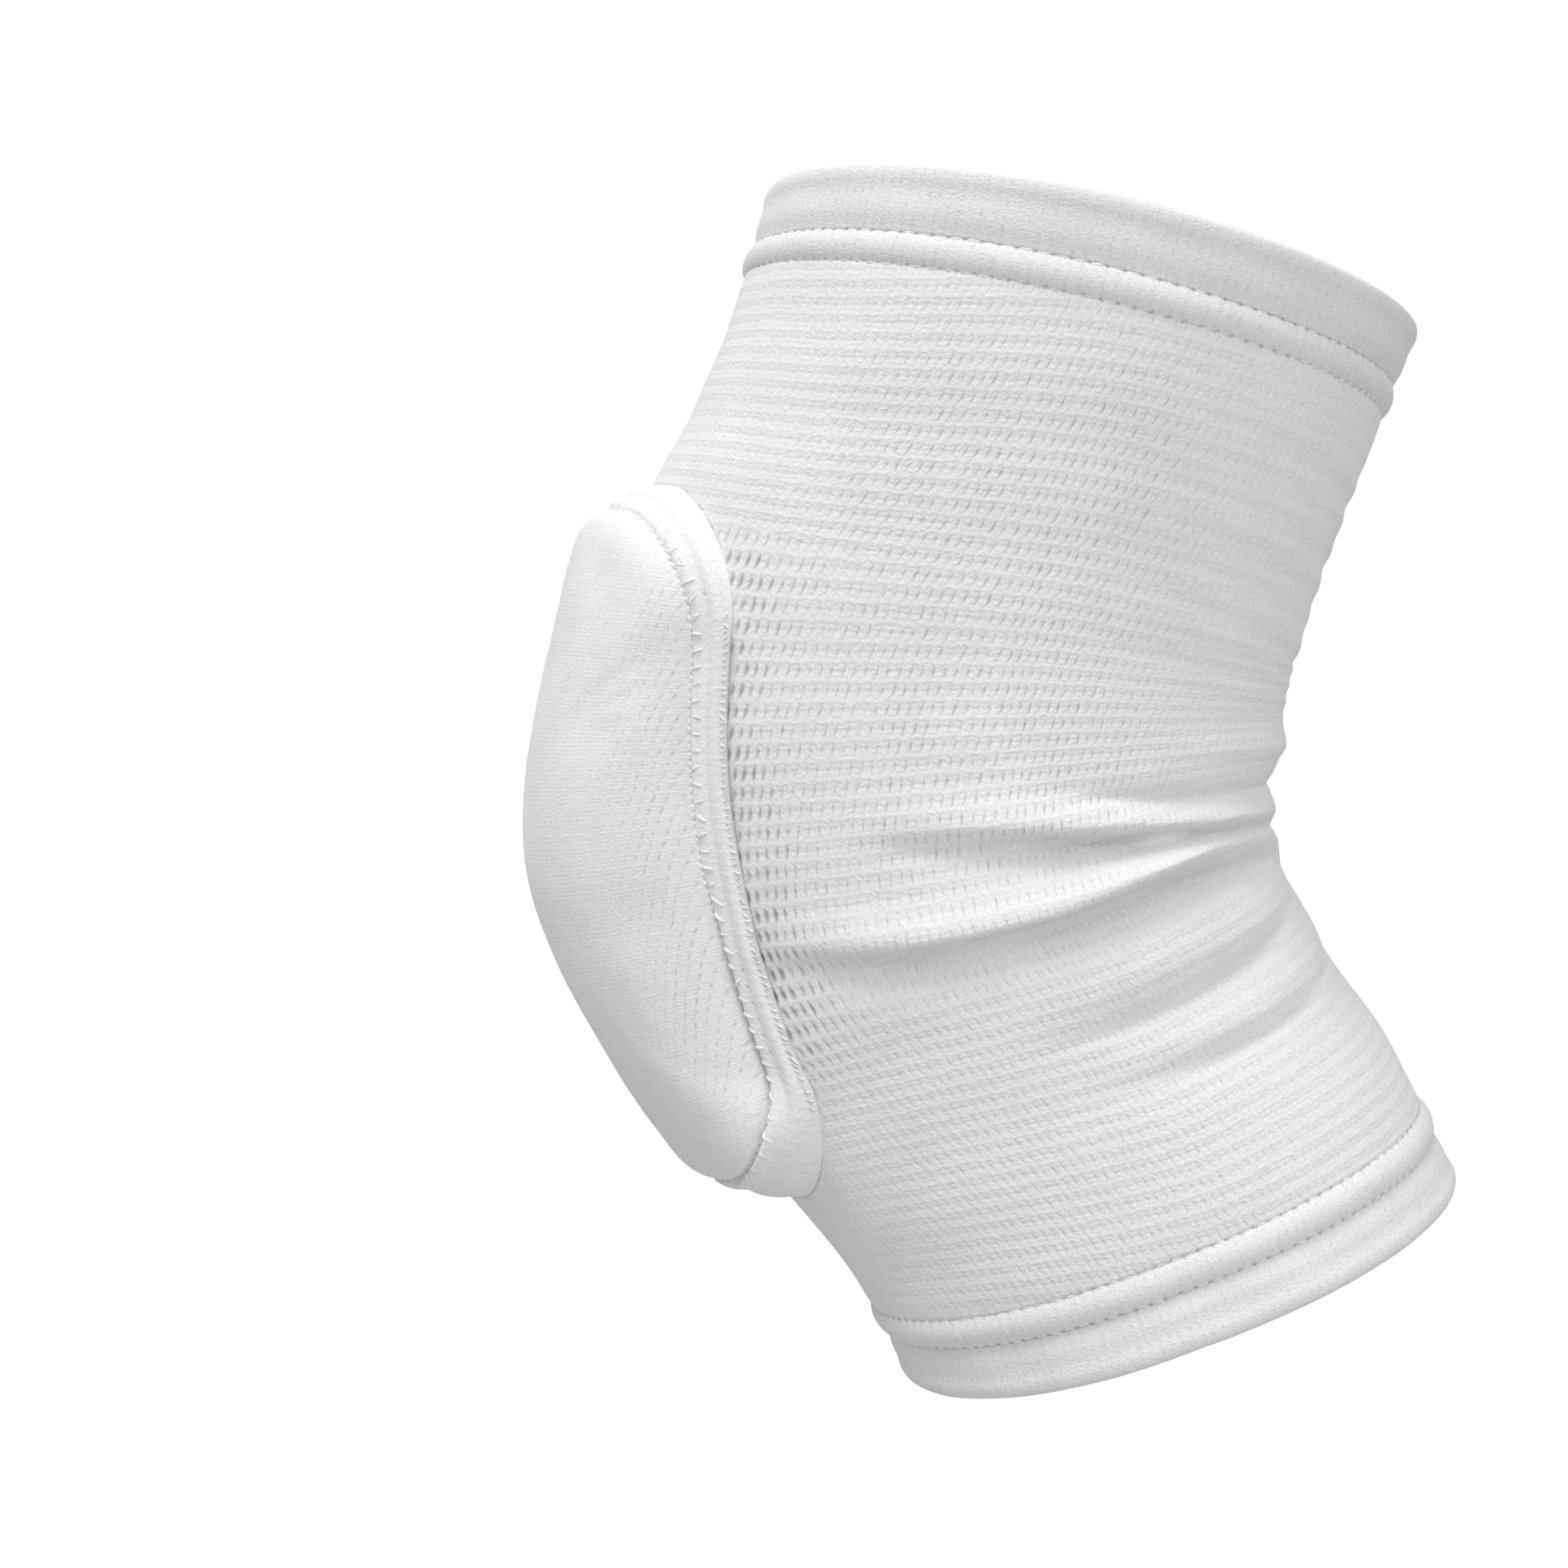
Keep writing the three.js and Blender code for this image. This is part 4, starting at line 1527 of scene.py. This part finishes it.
@dataclass
class Border:
    """Sewn border round the cup: two rolls with a stitch line between them and an overlocked free edge."""

    plan: CupPlan
    lip: float = 0.0024
    top_lip: float = 0.0028
    rolls: tuple = (0.0006, 0.0006, 0.0009)
    seam_depth: float = 0.0019
    columns: int = 480
    rim: int = 230
    ladder: int = 120
    loops: int = 300
    skirt: float = 0.22
    skirt_foot: float = 0.00005
    stitch_line: float = 0.54
    courses: float = 2.8
    rim_thread: float = 0.0003
    ladder_thread: float = 0.0003
    loop_thread: float = 0.00028

    def height(self, across: Array, heading: Array) -> Array:
        """Height of the border's outside above the tube.

        Args:
            across: places from the inner edge at 0 to the free edge at 1.
            heading: places up the cup, -1 at its foot and 1 at its top.

        Returns:
            The heights.
        """
        places = [0.01, 0.12, 0.28, 0.43, 0.54, 0.65, 0.8, 0.93, 1.0]
        fall = TableCurve(places, [0.0, 0.06, 0.2, 0.38, 0.5, 0.62, 0.78, 0.95, 1.0]).at(across)
        roll = TableCurve(places, [0.05, 0.3, 0.35, 0.15, -0.1, 0.3, 0.75, 0.45, -0.9]).at(across)
        sunk = self.seam_depth * np.exp(-((across / 0.12) ** 2)) * soft_step(-heading, 0.05, 0.5)
        roll = roll * self.plan.round_cup(heading, *self.rolls) - sunk
        lip = self.plan.round_cup(heading, self.top_lip, self.lip, self.lip)
        return between(self.plan.border_rise(heading), lip, fall) + roll

    def build(self, form: Form, finish: bpy.types.Material) -> bpy.types.Object:
        """Makes the band.

        Args:
            form: the bent form.
            finish: the material.

        Returns:
            The piece.
        """
        across = np.concatenate([np.linspace(0.0, 0.9, 24), [0.94, 0.97, 0.99, 1.0]])
        flat = np.stack([self.plan.outline(a, self.columns) for a in across])
        heading = flat[..., 1] / (self.plan.height / 2)
        station, angle = self.plan.place(form, flat)
        over = form.point(station, angle, self.height(across[:, None], heading))
        spread = soft_step(heading[-1], 0.55, 0.95) + 0.6 * soft_step(-heading[-1], 0.6, 0.95)
        spread = np.maximum(spread, 0.15)[None, :, None]
        steps = np.array([0.3, 0.65, 1.0])
        beyond = np.stack([self.plan.outline(1.0 + self.skirt * step, self.columns) for step in steps])
        beyond = between(flat[-1][None], beyond, spread)
        edge = self.height(np.ones(1), heading[-1])
        falls = between(steps[:, None] ** 1.5, steps[:, None] * 0.4 + 0.6, spread[:, :, 0])
        slope = between(edge[None], self.skirt_foot, falls)
        hem = form.point(*self.plan.place(form, beyond), slope)
        seats = np.array([0.96, 0.5, 0.01])
        low = np.stack([self.plan.outline(a, self.columns) for a in seats])
        under = form.point(*self.plan.place(form, low), self.plan.clearance)
        run = np.concatenate([across, 1.0 + self.skirt * steps, 1.3 + (1.0 - seats)])
        wales = np.arange(self.columns + 1) / self.columns * self.ladder * STITCH_WALES
        points = np.vstack([over, hem, under])
        plain = 0.6 * soft_step(heading[-1], -0.45, -0.15) + 0.9 * soft_step(-heading[-1], 0.7, 0.95)
        plain = plain * (1.0 - 0.9 * np.exp(-(((heading[-1] - 0.82) / 0.05) ** 2)))
        seam = np.abs(run - self.stitch_line)[:, None] * MILLIMETRES * self.plan.border_shin + plain[None]
        masks = {"seam": np.broadcast_to(seam, points.shape[:2])}
        knit = level_knit(wales, run * self.courses)
        piece = KnitGrid("cup_border_knit", points, knit, masks=masks).build()
        finish_piece(piece, finish, "cup_border")
        return piece

    def threads(
        self,
        form: Form,
        name: str,
        flat: Array,
        across: Array,
        lift: Array,
        radius: float,
        finish: bpy.types.Material,
    ) -> None:
        """Makes threads on the border.

        Args:
            form: the bent form.
            name: the piece's name.
            flat: flat points, a row for each thread.
            across: their places, from the cup's edge at 0 to the free edge at 1.
            lift: height of each point above the border, or above its free edge past it.
            radius: the threads' radius.
            finish: the material.
        """
        heading = flat[..., 1] / (self.plan.height / 2)
        station, angle = self.plan.place(form, flat)
        paths = form.point(station, angle, self.height(np.clip(across, 0.01, 1.0), heading) + lift)
        piece = ThreadSet(name, paths, form.outward(station, angle), radius).build()
        finish_piece(piece, finish)

    def crossing(self, count: int, across: Array, skew: Array) -> Array:
        """Flat points of threads that cross the border.

        Args:
            count: number of threads.
            across: each point's place, as in height.
            skew: shift of each point along the border, as a share of the distance between threads.

        Returns:
            The points, a row for each thread.
        """
        inner, outer = self.plan.outline(0.0, count), self.plan.outline(1.0, count)
        along = np.roll(outer, -1, axis=0) - outer
        return between(inner[:, None], outer[:, None], across[..., None]) + along[:, None] * skew[..., None]

    def stitching(self, form: Form, finish: bpy.types.Material) -> None:
        """Makes the stitches of the inner seam, the ladder threads and the loops at the free edge.

        Args:
            form: the bent form.
            finish: the material.
        """
        rng = np.random.default_rng(7)
        steps = 8
        rim = self.plan.outline(0.0, self.rim * steps).reshape(self.rim, steps, 2)[:, :-1]
        bow = np.linspace(-1.0, 1.0, steps - 1) ** 4
        place = np.zeros((self.rim, steps - 1))
        lift = np.broadcast_to(0.00015 - 0.0003 * bow, place.shape)
        self.threads(form, "border_rim_stitches", rim, place, lift, self.rim_thread, finish)
        share = np.linspace(-1.0, 1.0, 7)[None]
        middle = 0.27 + 0.03 * rng.standard_normal((self.ladder, 1))
        place = middle + (0.14 + 0.08 * rng.random((self.ladder, 1))) * share
        skew = 0.16 * rng.standard_normal((self.ladder, 1)) * share
        sunk = 0.00022 - 0.00028 * rng.random((self.ladder, 1)) - 0.0005 * share**4
        flat = self.crossing(self.ladder, place, skew)
        self.threads(form, "border_ladder", flat, place, sunk, self.ladder_thread, finish)
        turn = np.linspace(0.0, 1.3, 8)[None] * math.pi / 2
        reach = 0.08 + 0.12 * rng.random((self.loops, 1))
        place = 0.98 + reach * np.sin(turn)
        skew = 0.4 * rng.standard_normal((self.loops, 1)) * np.sin(turn) ** 2
        drop = np.broadcast_to(-0.00005 - 0.0006 * np.maximum(np.sin(turn) - 0.6, 0.0), place.shape)
        flat = self.crossing(self.loops, place, skew)
        sides = np.abs(flat[:, 0, 1] / (self.plan.height / 2) + 0.07) < 0.8
        kept = (flat[sides], place[sides], drop[sides])
        self.threads(form, "border_overlock", *kept, self.loop_thread, finish)


# The room


@dataclass
class Studio:
    """Pale floor, soft light and the camera at the photograph's viewing angle."""

    camera_at: tuple = (0.0025, -0.490, 0.0175)
    view_width: float = 0.32844
    view_centre: tuple = (-0.0402, -0.0028)
    floor_height: float = -0.45
    floor_size: float = 6.0
    floor_tone: float = 0.5
    key_at: tuple = (-0.5, -0.6, 1.55)
    key_power: float = 14.0
    fill_at: tuple = (0.55, -1.5, 0.55)
    fill_power: float = 6.4
    glow: tuple = (0.25, 0.9)

    def camera(self) -> None:
        """Sets the camera level, with the small shift that the framing needs."""
        data = bpy.data.cameras.new("view")
        data.sensor_width = 36.0
        data.lens = data.sensor_width * abs(self.camera_at[1]) / self.view_width
        data.shift_x = (self.view_centre[0] - self.camera_at[0]) / self.view_width
        data.shift_y = (self.view_centre[1] - self.camera_at[2]) / self.view_width
        data.clip_start = 0.01
        camera = bpy.data.objects.new("view", data)
        camera.location = self.camera_at
        camera.rotation_euler = (math.pi / 2, 0.0, 0.0)
        bpy.context.scene.collection.objects.link(camera)
        bpy.context.scene.camera = camera

    def light(self, name: str, place: tuple, size: float, power: float, colour: tuple) -> None:
        """Soft square light that faces the pad.

        Args:
            name: the light's name.
            place: where it hangs, in metres.
            size: its side, in metres.
            power: its power, in watts.
            colour: its colour.
        """
        data = bpy.data.lights.new(name, "AREA")
        data.size, data.energy, data.color = size, power, colour
        lamp = bpy.data.objects.new(name, data)
        lamp.location = place
        lamp.rotation_mode = "QUATERNION"
        lamp.rotation_quaternion = Vector(place).to_track_quat("Z", "Y")
        bpy.context.scene.collection.objects.link(lamp)

    def floor(self) -> None:
        """Lays the plain pale floor, well below the pad."""
        half = self.floor_size / 2
        ways = ((-1, -1), (1, -1), (1, 1), (-1, 1))
        corners = np.array([[x * half, y * half, self.floor_height] for x, y in ways])
        piece = new_piece("floor", corners, [[0, 1, 2, 3]])
        material = bpy.data.materials.new("floor")
        material.use_nodes = True
        shader = material.node_tree.nodes["Principled BSDF"]
        shader.inputs["Base Color"].default_value = (*[self.floor_tone] * 3, 1.0)
        shader.inputs["Roughness"].default_value = 0.9
        shader.inputs["Emission Color"].default_value = (1.0, 1.0, 1.0, 1.0)
        bench = Bench(material.node_tree)
        seen = bench.node("ShaderNodeLightPath").outputs["Is Camera Ray"]
        bench.feed(shader.inputs["Emission Strength"], bench.ramp(seen, 0.0, 1.0, 0.0, 0.85))
        piece.data.materials.append(material)

    def build(self) -> None:
        """Sets up the whole room."""
        self.camera()
        self.floor()
        world = bpy.data.worlds.new("room")
        world.use_nodes = True
        bench = Bench(world.node_tree)
        back = world.node_tree.nodes["Background"]
        back.inputs["Color"].default_value = (0.97, 0.98, 1.0, 1.0)
        seen = bench.node("ShaderNodeLightPath").outputs["Is Camera Ray"]
        way = bench.node("ShaderNodeSeparateXYZ")
        bench.feed(way.inputs[0], bench.node("ShaderNodeTexCoord").outputs["Generated"])
        glow = bench.ramp(way.outputs[2], -0.3, 1.0, *self.glow)
        bench.feed(back.inputs["Strength"], bench.math("MAXIMUM", glow, bench.times(seen, 1.06)))
        bpy.context.scene.world = world
        bpy.context.scene.view_settings.view_transform = "Standard"
        self.light("key", self.key_at, 0.7, self.key_power, (1.0, 0.998, 0.99))
        self.light("fill", self.fill_at, 1.0, self.fill_power, (0.99, 0.99, 1.0))
        log.info("room: floor, two lights and the camera")


def main() -> None:
    """Builds the knee pad and its room."""
    logging.basicConfig(level=logging.INFO, format="%(name)s %(message)s")
    form = Form()
    open_knit = OpenKnit().material()
    close_knit = CloseKnit().material()
    border_knit = BorderKnit().material()
    cover = BrushedCover().material()
    yarn = Yarn().material()
    Studio().build()
    Sleeve().build(form, open_knit)
    for end in End:
        edge = Edge(end)
        edge.hem(form, close_knit)
        edge.welt(form, close_knit)
        edge.stitch_rows(form, yarn)
    plan = CupPlan()
    Cup(plan).build(form, cover)
    border = Border(plan)
    border.build(form, border_knit)
    border.stitching(form, yarn)


if __name__ == "__main__":
    main()
